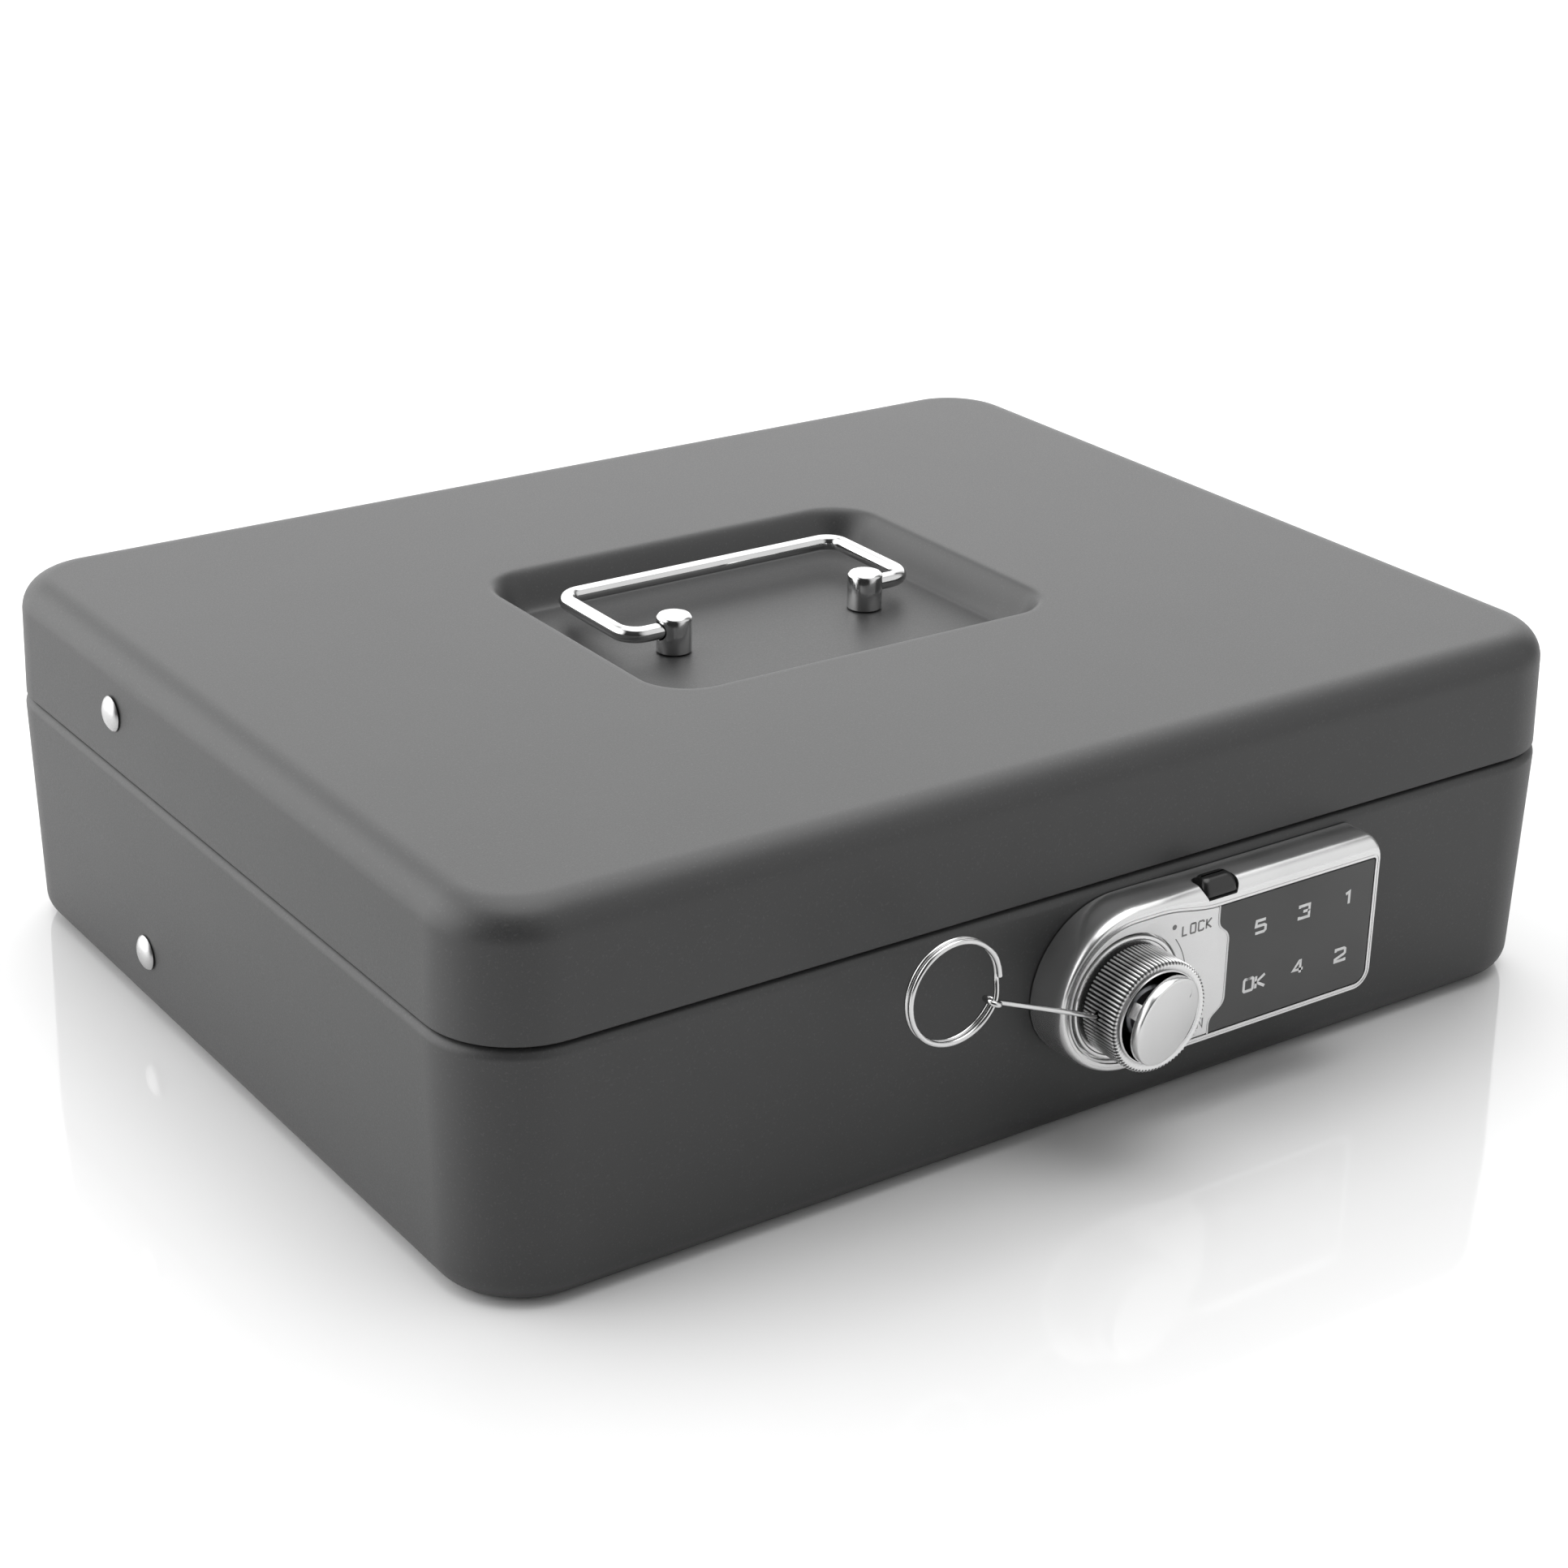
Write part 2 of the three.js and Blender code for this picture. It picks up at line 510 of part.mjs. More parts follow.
function lockHousing() {
  const wall = 2;
  const envelope = loft([...baseOutside(GAP), ringAt(-BASE.proud - GAP, BASE.top + 8)]);
  const hollow = housingRoom(wall);
  const fixings = [SCREWS.lower, SCREWS.upper, SCREWS.side];
  const bosses = fixings.map(([x, z]) => frontRod(x, z, 2.8, -119, FACE.skin - 0.4));
  const threads = fixings.map(([x, z]) => frontRod(x, z, SCREWS.shank + GAP, -110, -125.5));
  const shell = cut(join(cut(housingBody(0, -115, FACE.y), hollow), ...bosses), ...threads);
  const { x, y, width, depth } = BUTTON;
  return cut(
    shell,
    envelope,
    faceSlab(FACE.rim, FACE.y + FACE.plate + GAP, FACE.y - 1),
    frontRod(KNOB.x, KNOB.z, 15.05, FACE.y + 2, FACE.y - 2, 40),
    frontRod(KNOB.x, KNOB.z, 5.5, -115, FACE.y, 24),
    box(x - width / 2 - 0.3, x + width / 2 + 0.3, y - depth / 2 - 2, y + depth / 2 + 0.3, 53.9, 70),
    box(DRAWER.right - 6, 90, DRAWER.front - 0.4, DRAWER.rear + 0.4, DRAWER.bottom - 0.4, DRAWER.top + 0.4),
    box(DRAWER.right + 0.1, 90, DRAWER.front - 4, DRAWER.rear + 0.4, DRAWER.bottom + 0.4, DRAWER.top - 0.4),
  );
}

// The border between the light legend plate and the dark touch panel steps in and out once.
const PANEL_EDGE = [[29.6, 60], [29.6, 47], [32.8, 44.4], [32.8, 27.4], [28.6, 24.3], [28.6, 10]];

function touchPanel() {
  const shape = shapeOf([[90, 60], ...PANEL_EDGE, [90, 10]]);
  const slab = faceSlab(FACE.rim + GAP, FACE.y + FACE.plate, FACE.y);
  return slab.intersect(plate(shape, 'front', FACE.y + 5, FACE.y - 5));
}

function legendPlate() {
  const shifted = PANEL_EDGE.map(([u, v]) => [u - GAP, v]);
  const shape = shapeOf([[-20, 10], ...shifted.reverse(), [-20, 60]]);
  const slab = faceSlab(FACE.rim + GAP, FACE.y + FACE.plate, FACE.y);
  const piece = slab.intersect(plate(shape, 'front', FACE.y + 5, FACE.y - 5));
  return cut(piece, frontRod(KNOB.x, KNOB.z, 15.05, FACE.y + 2, FACE.y - 2, 40));
}

const circuitBoard = () => box(31, 75, -127, -125.6, 25.4, 47.6);

// The button's cap leans back out of a notch in the housing's top edge, on a stem with a foot inside.
function wakeButton() {
  const { x, y, width, depth, bottom, top } = BUTTON;
  const ring = (inset, level, back) => ({
    outline: roundedRectangle(width - 2 * inset, depth - 2 * inset, 1.4, [x, y + back], 3), level,
  });
  const cap = loft([ring(0, bottom, 0), ring(0.1, 55.4, 0.1), ring(0.6, 57, 0.3), ring(1.3, top, 0.7)]);
  const stem = box(x - 3.4, x + 3.4, FACE.skin + 0.6, y + depth / 2 - 0.2, 51.8, 56);
  const foot = box(x - 4.8, x + 4.8, FACE.skin + 0.6, -121.7, 50.4, 52);
  return join(cap, stem, foot);
}

function batteryDrawer() {
  const { left, right, bottom, top, front, rear } = DRAWER;
  const pocket = frontRod(CELL.x, CELL.z, CELL.radius + 0.4, rear - 0.7, front - 1, 32);
  const fingerSlot = box(right - 1.5, right + 1, front - 1, front + 1.6, 30.5, 43.1);
  return cut(box(left, right, front, rear, bottom, top), pocket, fingerSlot);
}

const batteryCell = () => frontRod(CELL.x, CELL.z, CELL.radius, DRAWER.rear - 1, DRAWER.front + 0.2, 32);

// ---------------------------------------------------------------- knob
const FRONT = Y_AXIS.clone().negate();
const knobTurned = (profile, sides = 32) => turned(profile, [KNOB.x, 0, KNOB.z], FRONT, sides);

function knobBarrel() {
  const { x, z, rear, front, radius, bore, ridges, ridge } = KNOB;
  const knurl = Array.from({ length: 2 * ridges }, (_, i) => {
    const [angle, r] = [(i * Math.PI) / ridges, radius - (i % 2) * ridge];
    return [x + r * Math.cos(angle), z + r * Math.sin(angle)];
  });
  const grip = plate(shapeOf(knurl), 'front', rear, front + 1.2);
  const face = -front;
  const rim = knobTurned([
    [0, face - 2], [12.2, face - 2], [12.5, face - 1], [12.2, face - 0.3], [11.7, face], [0, face],
  ]);
  return cut(
    join(grip, rim),
    frontRod(x, z, bore, rear - 2.9, front - 1, 40),
    frontRod(x, z, 4.3, rear + 1, front, 24),
    rod([TOOL.endX, TOOL.y, TOOL.endZ], toolPoint(-5), TOOL.wire + GAP, 12),
    coverPinRod(7, 0.75),
  );
}

const knobSpindle = () => frontRod(KNOB.x, KNOB.z, 4, -113.2, KNOB.rear - 2.7, 24);

function knobCollar() {
  return knobTurned([[4.6, 128.9], [14.5, 128.9], [14.5, 130.7], [14.1, 131.1], [4.6, 131.1], [4.6, 128.9]]);
}

const spindleBush = () => knobTurned([
  [4.4, 117.3], [6.9, 117.3], [6.9, 121], [9, 121], [9, 123],
  [6.9, 123], [6.9, 126.9], [4.4, 126.9], [4.4, 117.3],
], 20);

// The key barrel behind the cover, with a keyway across its face.
function keyCylinder() {
  const start = -(KNOB.rear - 3.2);
  const plug = knobTurned([[0, start], [6.2, start], [6.2, start + 3.4], [5.6, start + 4], [0, start + 4]]);
  const { x, z } = KNOB;
  return cut(plug, box(x - 0.8, x + 0.8, -start - 6, -start - 1.5, z - 3.4, z + 3.4));
}

// The cover swings about a pin near its lower right edge.
const coverAngle = THREE.MathUtils.degToRad(COVER.hingeAngle);
const coverOut = new THREE.Vector3(Math.cos(coverAngle), 0, Math.sin(coverAngle));
const coverAxis = new THREE.Vector3(-Math.sin(coverAngle), 0, Math.cos(coverAngle));
const coverHinge = new THREE.Vector3(KNOB.x, KNOB.front + 0.9, KNOB.z).addScaledVector(coverOut, COVER.hinge);

function coverPinRod(half, radius) {
  const ends = [-half, half].map((t) => coverHinge.clone().addScaledVector(coverAxis, t).toArray());
  return rod(...ends, radius, 12);
}

function keyCover() {
  const { radius: r, thick, ajar } = COVER;
  const face = -KNOB.front + 0.2;
  const back = face - thick;
  const disc = knobTurned([
    [0, back], [r - 0.3, back], [r, back + 0.3], [r, face - 0.35], [r - 0.35, face], [0, face],
  ]);
  const tab = box(-9.3, -8.3, -back - 0.3, -back + 2.6, -1.8, 1.8);
  const turn = new THREE.Matrix4().makeRotationY(THREE.MathUtils.degToRad(28));
  const placed = geometryOf(tab).applyMatrix4(turn.setPosition(KNOB.x, 0, KNOB.z));
  const shut = cut(join(disc, solid(placed)), coverPinRod(9, 0.75));
  const swing = new THREE.Matrix4().makeRotationAxis(coverAxis, THREE.MathUtils.degToRad(ajar));
  const geometry = geometryOf(shut).translate(...coverHinge.clone().negate().toArray());
  return solid(geometry.applyMatrix4(swing).translate(...coverHinge.toArray()));
}

const coverPin = () => coverPinRod(6.8, 0.45);

// ---------------------------------------------------------------- lock case
const SPINDLE = [KNOB.x, KNOB.z];
const crankPin = [KNOB.x - CAM.crank * Math.SQRT1_2, KNOB.z + CAM.crank * Math.SQRT1_2];

function latchCam() {
  const { front, thick, hub, pin, arm, half } = CAM;
  const [x, z] = SPINDLE;
  const reach = (radius, sign) => [x + sign * radius * Math.SQRT1_2, z + radius * Math.SQRT1_2];
  const lever = (sign, radius) => plate(
    roundBar(SPINDLE, reach(radius, sign), half), 'front', front, front + thick,
  );
  const crank = frontRod(...crankPin, pin, front + 1, BOLT.front + BOLT.thick - 0.3, 16);
  const disc = frontRod(x, z, hub, front, front + thick);
  const body = join(disc, lever(1, arm - half), lever(-1, CAM.crank));
  return cut(join(body, crank), frontRod(x, z, 4.3, front - 2, front + 6));
}

function latchBolt() {
  const { tip, length, bottom, height, front, thick } = BOLT;
  const [pinX] = crankPin;
  const slot = CAM.pin + 0.45;
  const prongs = [pinX - slot - 3, pinX + slot].map((x) => box(
    x, x + 3, front, front + thick, bottom - 7.4, bottom + 1,
  ));
  return join(box(tip, tip + length, front, front + thick, bottom, bottom + height), ...prongs);
}

function lockCase() {
  const { left, right, bottom, top, front, rear } = CASE;
  const t = BOX.sheet;
  const shell = cut(
    box(left, right, front, rear, bottom, top),
    box(left + t, right - t, front - 5, rear - t, bottom + t, top - t),
  );
  const lowerEar = box(-3, 10.6, front, front + t, 16.4, bottom + 1);
  const upperEar = box(right - 1, 50, front, front + t, 45, top);
  const boltSlot = box(left - 1, left + 2, BOLT.front - 0.5, BOLT.front + BOLT.thick + 0.5, BOLT.bottom - 0.5,
    BOLT.bottom + BOLT.height + 0.5);
  const holes = [SCREWS.lower, SCREWS.upper].map(([x, z]) => frontRod(x, z, 2.2, front - 3, front + 5, 16));
  return cut(join(shell, lowerEar, upperEar), boltSlot, ...holes);
}

const caseScrew = ([x, z], depth) => screw([x, CASE.front + BOX.sheet + GAP, z], FRONT, depth);
const sideScrew = ([x, z]) => screw([x, CASE.front + 0.4, z], FRONT, 6.6);

const solenoidBody = () => cut(
  box(20.5, 37.5, -117.4, -106.4, 29.6, 44),
  rod([10, -115, KNOB.z], [45, -115, KNOB.z], 2.3, 16),
);
const solenoidPlunger = () => rod([16.6, -115, KNOB.z], [38, -115, KNOB.z], 2, 16);
const solenoidLead = () => rod([34, -125.3, 40], [34, -117.7, 40], 1.2, 10);

// The striker hangs from the lid's front wall, hops over the base's lip, and takes the bolt in its window.
function lidStriker() {
  const foot = box(-24, -8, -117.9, -116.5, 68.2, 80);
  const outline = [
    [-115.2, 43.5], [-104, 43.5], [-104, 76], [-108, 80], [-117, 80], [-117, 68.2], [-115.2, 68.2],
  ];
  const tongue = plate(shapeOf(outline), 'side', -16, -14.4);
  const window = box(-18, -12, BOLT.front - 0.8, BOLT.front + BOLT.thick + 0.8, BOLT.bottom - 0.8,
    BOLT.bottom + BOLT.height + 0.8);
  return cut(join(foot, tongue), window);
}

// ---------------------------------------------------------------- release tool
const toolLine = new THREE.Vector3(TOOL.endX - TOOL.mouthX, 0, TOOL.endZ - TOOL.mouthZ).normalize();

// A point on the tool's pin, by its distance out from the knob's surface.
function toolPoint(distance) {
  return new THREE.Vector3(TOOL.mouthX, TOOL.y, TOOL.mouthZ).addScaledVector(toolLine, distance).toArray();
}

const toolLength = Math.hypot(TOOL.endX - TOOL.mouthX, TOOL.endZ - TOOL.mouthZ);
const EYE = 2.3;

// The pin's wire ends in an eye that stands square to the split ring.
function releasePin() {
  const centre = new THREE.Vector3(...toolPoint(toolLength));
  const eye = new THREE.TorusGeometry(EYE, TOOL.wire, 8, 20);
  const basis = new THREE.Matrix4().makeBasis(toolLine, Y_AXIS, toolLine.clone().cross(Y_AXIS));
  const shaft = rod(toolPoint(-3.6), toolPoint(toolLength - EYE + 0.3), TOOL.wire, 12);
  return join(shaft, solid(eye.applyMatrix4(basis.setPosition(centre))));
}

// Two turns of wire that lie side by side.
function splitRing() {
  const tilt = Math.atan2(toolLine.z, toolLine.x) - THREE.MathUtils.degToRad(TOOL.ringTurn);
  const eye = toolPoint(toolLength);
  const centre = new THREE.Vector3(
    eye[0] + TOOL.ring * Math.cos(tilt), eye[1], eye[2] + TOOL.ring * Math.sin(tilt),
  );
  const turns = 1.94;
  const steps = 64;
  const pitch = 2 * TOOL.wire + 0.14;
  const start = tilt + 1.1;
  const points = Array.from({ length: steps + 1 }, (_, i) => {
    const share = i / steps;
    const angle = start + turns * 2 * Math.PI * share;
    const lift = (share - 0.5) * turns * pitch;
    return [centre.x + TOOL.ring * Math.cos(angle), centre.y + lift, centre.z + TOOL.ring * Math.sin(angle)];
  });
  return bentWire(points, TOOL.wire, 60, 5);
}

// ---------------------------------------------------------------- assembly
const cashBox = new THREE.Group();

function add(name, body, material) {
  const mesh = new THREE.Mesh(geometryOf(body), material);
  mesh.name = name;
  cashBox.add(mesh);
}

const { paint, chrome, steel, satin, legend, panel, black, tray, board, zinc } = LOOKS;

add('base_shell', baseShell(), paint);
add('lid_shell', lidShell(), paint);
add('handle_bail', bentWire(bailRoute(), BAIL.wire, 56), chrome);
add('coin_tray', coinTray(), tray);
add('lock_housing', lockHousing(), satin);
add('touch_panel', touchPanel(), panel);
add('legend_plate', legendPlate(), legend);
add('circuit_board', circuitBoard(), board);
add('wake_button', wakeButton(), black);
add('battery_drawer', batteryDrawer(), black);
add('battery_cell', batteryCell(), steel);
add('knob_barrel', knobBarrel(), satin);
add('knob_spindle', knobSpindle(), steel);
add('knob_collar', knobCollar(), satin);
add('spindle_bush', spindleBush(), zinc);
add('key_cylinder', keyCylinder(), zinc);
add('key_cover', keyCover(), satin);
add('cover_pin', coverPin(), steel);
add('latch_cam', latchCam(), zinc);
add('latch_bolt', latchBolt(), steel);
add('lock_case', lockCase(), zinc);
add('lock_screw_lower', caseScrew(SCREWS.lower, 8.4), steel);
add('lock_screw_upper', caseScrew(SCREWS.upper, 8.4), steel);
add('housing_screw', sideScrew(SCREWS.side), steel);
add('solenoid_body', solenoidBody(), black);
add('solenoid_plunger', solenoidPlunger(), steel);
add('solenoid_lead', solenoidLead(), black);
add('lid_striker', lidStriker(), zinc);
add('release_pin', releasePin(), chrome);
add('split_ring', splitRing(), chrome);

for (const [hand, side] of [['left', -1], ['right', 1]]) {
  add(`handle_post_${hand}`, handlePost(side * POST.x), chrome);
  add(`post_screw_${hand}`, postScrew(side * POST.x), steel);
  add(`lid_rivet_${hand}`, lidRivet(side), steel);
  add(`base_rivet_${hand}`, baseRivet(side), steel);
  add(`tray_link_${hand}`, trayLink(side), zinc);
  add(`tray_bracket_${hand}`, trayBracket(side), zinc);
  add(`tray_pin_${hand}`, trayPin(side), steel);
  add(`bracket_rivet_front_${hand}`, bracketRivet(side, BRACKET_RIVETS[0]), steel);
  add(`bracket_rivet_rear_${hand}`, bracketRivet(side, BRACKET_RIVETS[1]), steel);
  add(`hinge_base_leaf_${hand}`, baseLeaf(side * HINGE.x), paint);
  add(`hinge_lid_leaf_${hand}`, lidLeaf(side * HINGE.x), paint);
  add(`hinge_pin_${hand}`, hingePin(side * HINGE.x), steel);
}

export default cashBox;
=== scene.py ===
import json
import math

import bmesh
import bpy
from mathutils import Matrix, Vector


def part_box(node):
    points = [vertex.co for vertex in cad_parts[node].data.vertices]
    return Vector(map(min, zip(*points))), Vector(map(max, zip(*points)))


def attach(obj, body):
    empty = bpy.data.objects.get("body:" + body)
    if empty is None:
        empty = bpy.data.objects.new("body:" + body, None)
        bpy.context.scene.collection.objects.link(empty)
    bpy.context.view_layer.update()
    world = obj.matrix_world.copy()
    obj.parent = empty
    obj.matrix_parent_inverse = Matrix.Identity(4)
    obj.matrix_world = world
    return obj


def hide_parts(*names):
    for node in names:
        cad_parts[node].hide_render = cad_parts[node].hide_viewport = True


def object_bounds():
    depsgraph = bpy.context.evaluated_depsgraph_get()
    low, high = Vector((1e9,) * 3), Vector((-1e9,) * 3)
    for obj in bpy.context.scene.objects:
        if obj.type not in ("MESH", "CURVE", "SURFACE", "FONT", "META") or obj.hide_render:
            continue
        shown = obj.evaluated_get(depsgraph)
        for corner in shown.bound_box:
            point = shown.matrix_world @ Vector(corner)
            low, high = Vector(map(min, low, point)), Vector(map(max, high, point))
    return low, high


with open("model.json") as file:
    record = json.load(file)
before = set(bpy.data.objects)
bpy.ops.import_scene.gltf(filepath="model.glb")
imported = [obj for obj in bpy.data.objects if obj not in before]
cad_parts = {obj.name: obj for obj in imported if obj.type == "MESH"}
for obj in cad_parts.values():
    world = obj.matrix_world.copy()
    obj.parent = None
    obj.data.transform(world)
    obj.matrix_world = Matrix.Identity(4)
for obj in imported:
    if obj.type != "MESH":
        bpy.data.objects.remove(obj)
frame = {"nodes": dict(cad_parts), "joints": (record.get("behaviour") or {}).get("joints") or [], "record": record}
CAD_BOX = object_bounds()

# Lengths in this script are millimetres, turned into metres where a mesh is made.
MM = 0.001
X, Y, Z = Vector((1, 0, 0)), Vector((0, 1, 0)), Vector((0, 0, 1))
FRONT = -Y


def box_mm(node):
    low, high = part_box(node)
    return low / MM, high / MM


def centre_mm(node):
    low, high = box_mm(node)
    return (low + high) / 2


# --- materials
class Graph:
    """A material's nodes, with short calls to add and join them."""

    def __init__(self, name):
        self.material = bpy.data.materials.new(name)
        self.material.use_nodes = True
        self.nodes = self.material.node_tree.nodes
        self.links = self.material.node_tree.links
        self.shader = self.nodes["Principled BSDF"]
        self.place = self.nodes.new("ShaderNodeTexCoord").outputs["Object"]

    def add(self, kind, inputs=(), **settings):
        node = self.nodes.new("ShaderNode" + kind)
        for key, value in settings.items():
            setattr(node, key, value)
        for key, value in dict(inputs).items():
            if isinstance(value, bpy.types.NodeSocket):
                self.links.new(value, node.inputs[key])
            else:
                node.inputs[key].default_value = value
        return node

    def noise(self, size, stretch=(1, 1, 1), detail=3.0, rough=0.55):
        """Noise whose features are about `size` millimetres."""
        scaled = self.add("Mapping", {"Vector": self.place, "Scale": stretch}).outputs["Vector"]
        noise = self.add("TexNoise", {
            "Vector": scaled, "Scale": 1 / (size * MM), "Detail": detail, "Roughness": rough,
        })
        return noise.outputs["Fac"]

    def spread(self, value, low, high, start=0.3, end=0.7):
        return self.add("MapRange", {
            "Value": value, "From Min": start, "From Max": end, "To Min": low, "To Max": high,
        }).outputs["Result"]

    def product(self, first, second):
        return self.add("Math", {0: first, 1: second}, operation="MULTIPLY").outputs[0]

    def shade(self, color, amount):
        """`color` made lighter or darker by `amount`, a socket around 1."""
        return self.add("VectorMath", {0: color[:3], "Scale": amount}, operation="SCALE").outputs[0]

    def blend(self, share, first, second):
        mix = self.add("Mix", {"Factor": share, 6: first, 7: second}, data_type="RGBA")
        return mix.outputs[2]

    def relief(self, layers, edge=0.0):
        """Bumps from (socket, depth in mm) layers, over an edge softened by `edge` mm."""
        normal = None
        if edge:
            normal = self.add("Bevel", {"Radius": edge * MM}, samples=4).outputs["Normal"]
        for height, depth in layers:
            inputs = {"Height": height, "Strength": 1.0, "Distance": depth * MM}
            if normal:
                inputs["Normal"] = normal
            normal = self.add("Bump", inputs).outputs["Normal"]
        self.links.new(normal, self.shader.inputs["Normal"])

    def finish(self, color, roughness, metallic=0.0, **others):
        named = {"Base Color": color, "Roughness": roughness, "Metallic": metallic}
        named.update({key.replace("_", " "): value for key, value in others.items()})
        for key, value in named.items():
            if isinstance(value, bpy.types.NodeSocket):
                self.links.new(value, self.shader.inputs[key])
            else:
                self.shader.inputs[key].default_value = value
        return self.material


def grey(level, warmth=0.0):
    return (level * (1 + warmth), level, level * (1 - warmth), 1)


def paint_material():
    """Charcoal powder coat: a fine dry texture with a faint speckle."""
    g = Graph("paint")
    grain, drift = g.noise(0.32, detail=4), g.noise(24, detail=2)
    fleck = g.spread(g.noise(0.55, detail=1), 0.0, 1.0, 0.62, 0.72)
    tone = g.product(g.spread(grain, 0.86, 1.14), g.spread(drift, 0.96, 1.04))
    color = g.blend(g.product(fleck, 0.28), g.shade(grey(0.03, -0.01), tone), grey(0.08))
    g.relief([(grain, 0.012), (g.noise(1.3, detail=2), 0.01)], edge=0.3)
    return g.finish(color, g.spread(grain, 0.4, 0.54), Specular_IOR_Level=0.56)


def chrome_material():
    g = Graph("chrome")
    smear, haze = g.noise(9, detail=2), g.noise(0.6, detail=3)
    color = g.shade(grey(0.62), g.spread(smear, 0.95, 1.03))
    g.relief([(haze, 0.0004)], edge=0.12)
    return g.finish(color, g.spread(smear, 0.07, 0.13), 1.0)


def steel_material():
    """Plain bright steel with fine drawn lines."""
    g = Graph("steel")
    lines, blotch = g.noise(0.5, (1, 1, 14), 4), g.noise(7, detail=2)
    color = g.shade(grey(0.52), g.product(g.spread(lines, 0.85, 1.1), g.spread(blotch, 0.92, 1.05)))
    g.relief([(lines, 0.003)], edge=0.2)
    return g.finish(color, g.spread(blotch, 0.24, 0.38), 1.0)


def satin_material():
    """Satin silver coat over moulded plastic: bright, with a fine metallic flake."""
    g = Graph("satin")
    flake, drift = g.noise(0.12, detail=2), g.noise(12, detail=2)
    color = g.shade(grey(0.7), g.product(g.spread(flake, 0.97, 1.03), g.spread(drift, 0.97, 1.02)))
    g.relief([(drift, 0.002)])
    return g.finish(color, g.spread(drift, 0.2, 0.26), 0.9)


def ridged_material():
    """The grip's satin silver, with painted shade darkening the valleys between its ridges and its inside, but not
    its front.
    """
    g = Graph("ridged")
    flake, drift = g.noise(0.12, detail=2), g.noise(12, detail=2)
    flat = g.add("VectorMath", {0: g.place, 1: (1, 0, 1)}, operation="MULTIPLY").outputs[0]
    axis = centre_mm("knob_collar") * MM
    reach = g.add("VectorMath", {0: flat, 1: (axis.x, 0, axis.z)}, operation="DISTANCE").outputs["Value"]
    # Painted shade: the colour falls to 6% nearer the axis than the ridges' tops, in the valleys and inside the
    # grip; its front face is left unshaded.
    valley = g.spread(reach, 0.06, 1.0, 12.62 * MM, 12.9 * MM)
    ahead = g.add("SeparateXYZ", {0: g.place}).outputs["Y"]
    front = box_mm("knob_barrel")[0].y * MM
    face = g.spread(ahead, 1, 0, front + 0.2 * MM, front + 0.5 * MM)
    unshaded = g.add("Math", {0: face, 1: valley}, operation="MAXIMUM").outputs[0]
    tone = g.product(g.spread(flake, 0.96, 1.04), g.spread(drift, 0.97, 1.02))
    color = g.shade(grey(0.74), g.product(tone, unshaded))
    g.relief([(flake, 0.0004)])
    return g.finish(color, g.spread(drift, 0.24, 0.3), 0.9)


def legend_material():
    """Light grey printed plate, faintly metallic."""
    g = Graph("legend")
    flake, drift = g.noise(0.15, detail=2), g.noise(10, detail=2)
    color = g.shade(grey(0.86), g.product(g.spread(flake, 0.97, 1.03), g.spread(drift, 0.98, 1.02)))
    g.relief([(flake, 0.0015)], edge=0.1)
    return g.finish(color, g.spread(drift, 0.4, 0.5), 0.25)


def panel_material():
    """Dark touch panel with a soft matt surface."""
    g = Graph("panel")
    fine, drift = g.noise(0.2, detail=3), g.noise(16, detail=2)
    color = g.shade(grey(0.058), g.product(g.spread(fine, 0.93, 1.07), g.spread(drift, 0.96, 1.04)))
    g.relief([(fine, 0.0015)], edge=0.1)
    return g.finish(color, g.spread(drift, 0.4, 0.5))


def moulded_material(name, level, rough, size):
    """Black moulded plastic with a spark-eroded grain."""
    g = Graph(name)
    grain, drift = g.noise(size, detail=3), g.noise(18, detail=2)
    color = g.shade(grey(level), g.product(g.spread(grain, 0.88, 1.12), g.spread(drift, 0.94, 1.06)))
    g.relief([(grain, 0.01 * size / 0.3)], edge=0.25)
    return g.finish(color, g.spread(drift, rough - 0.05, rough + 0.06))


def board_material():
    """Green circuit board with copper tracks under the mask."""
    g = Graph("board")
    cells = g.add("TexBrick", {
        "Vector": g.place, "Scale": 260.0, "Color1": grey(0), "Color2": grey(0), "Mortar": grey(1),
        "Mortar Size": 0.07,
    })
    fine = g.noise(0.4)
    color = g.blend(cells.outputs["Fac"], (0.02, 0.11, 0.055, 1), (0.05, 0.2, 0.09, 1))
    g.relief([(cells.outputs["Fac"], 0.03), (fine, 0.004)])
    return g.finish(color, g.spread(fine, 0.3, 0.42))


def zinc_material():
    """Zinc plate: a grey metal with a soft crystal pattern."""
    g = Graph("zinc")
    crystals = g.add("TexVoronoi", {"Vector": g.place, "Scale": 380.0}, feature="F1")
    tint = g.add("SeparateColor", {"Color": crystals.outputs["Color"]}).outputs[0]
    fine = g.noise(0.5)
    tone = g.product(g.spread(tint, 0.9, 1.1, 0, 1), g.spread(fine, 0.94, 1.06))
    color = g.shade((0.36, 0.37, 0.39, 1), tone)
    g.relief([(fine, 0.004)], edge=0.25)
    return g.finish(color, g.spread(tint, 0.32, 0.46, 0, 1), 0.95)


def print_material(name, level):
    """Screen-printed ink."""
    g = Graph(name)
    fine, drift = g.noise(0.1, detail=2), g.noise(1.5, detail=2)
    g.relief([(fine, 0.001)])
    return g.finish(g.shade(grey(level), g.spread(drift, 0.93, 1.05)), g.spread(fine, 0.42, 0.55))


SLOTS = {
    "paint": paint_material(), "chrome": chrome_material(), "steel": steel_material(),
    "satin": satin_material(), "legend": legend_material(), "panel": panel_material(),
    "black": moulded_material("black", 0.012, 0.28, 0.25), "tray": moulded_material("tray", 0.022, 0.46, 0.5),
    "board": board_material(), "zinc": zinc_material(),
}
INK = {"white": print_material("ink_white", 0.78), "grey": print_material("ink_grey", 0.2)}


def dress_cad_nodes():
    """Each CAD node that stays takes the material of its slot in the record."""
    for part in frame["record"]["subparts"]:
        data = frame["nodes"][part["node"]].data
        data.materials.clear()
        data.materials.append(SLOTS[part["material_slot"]])


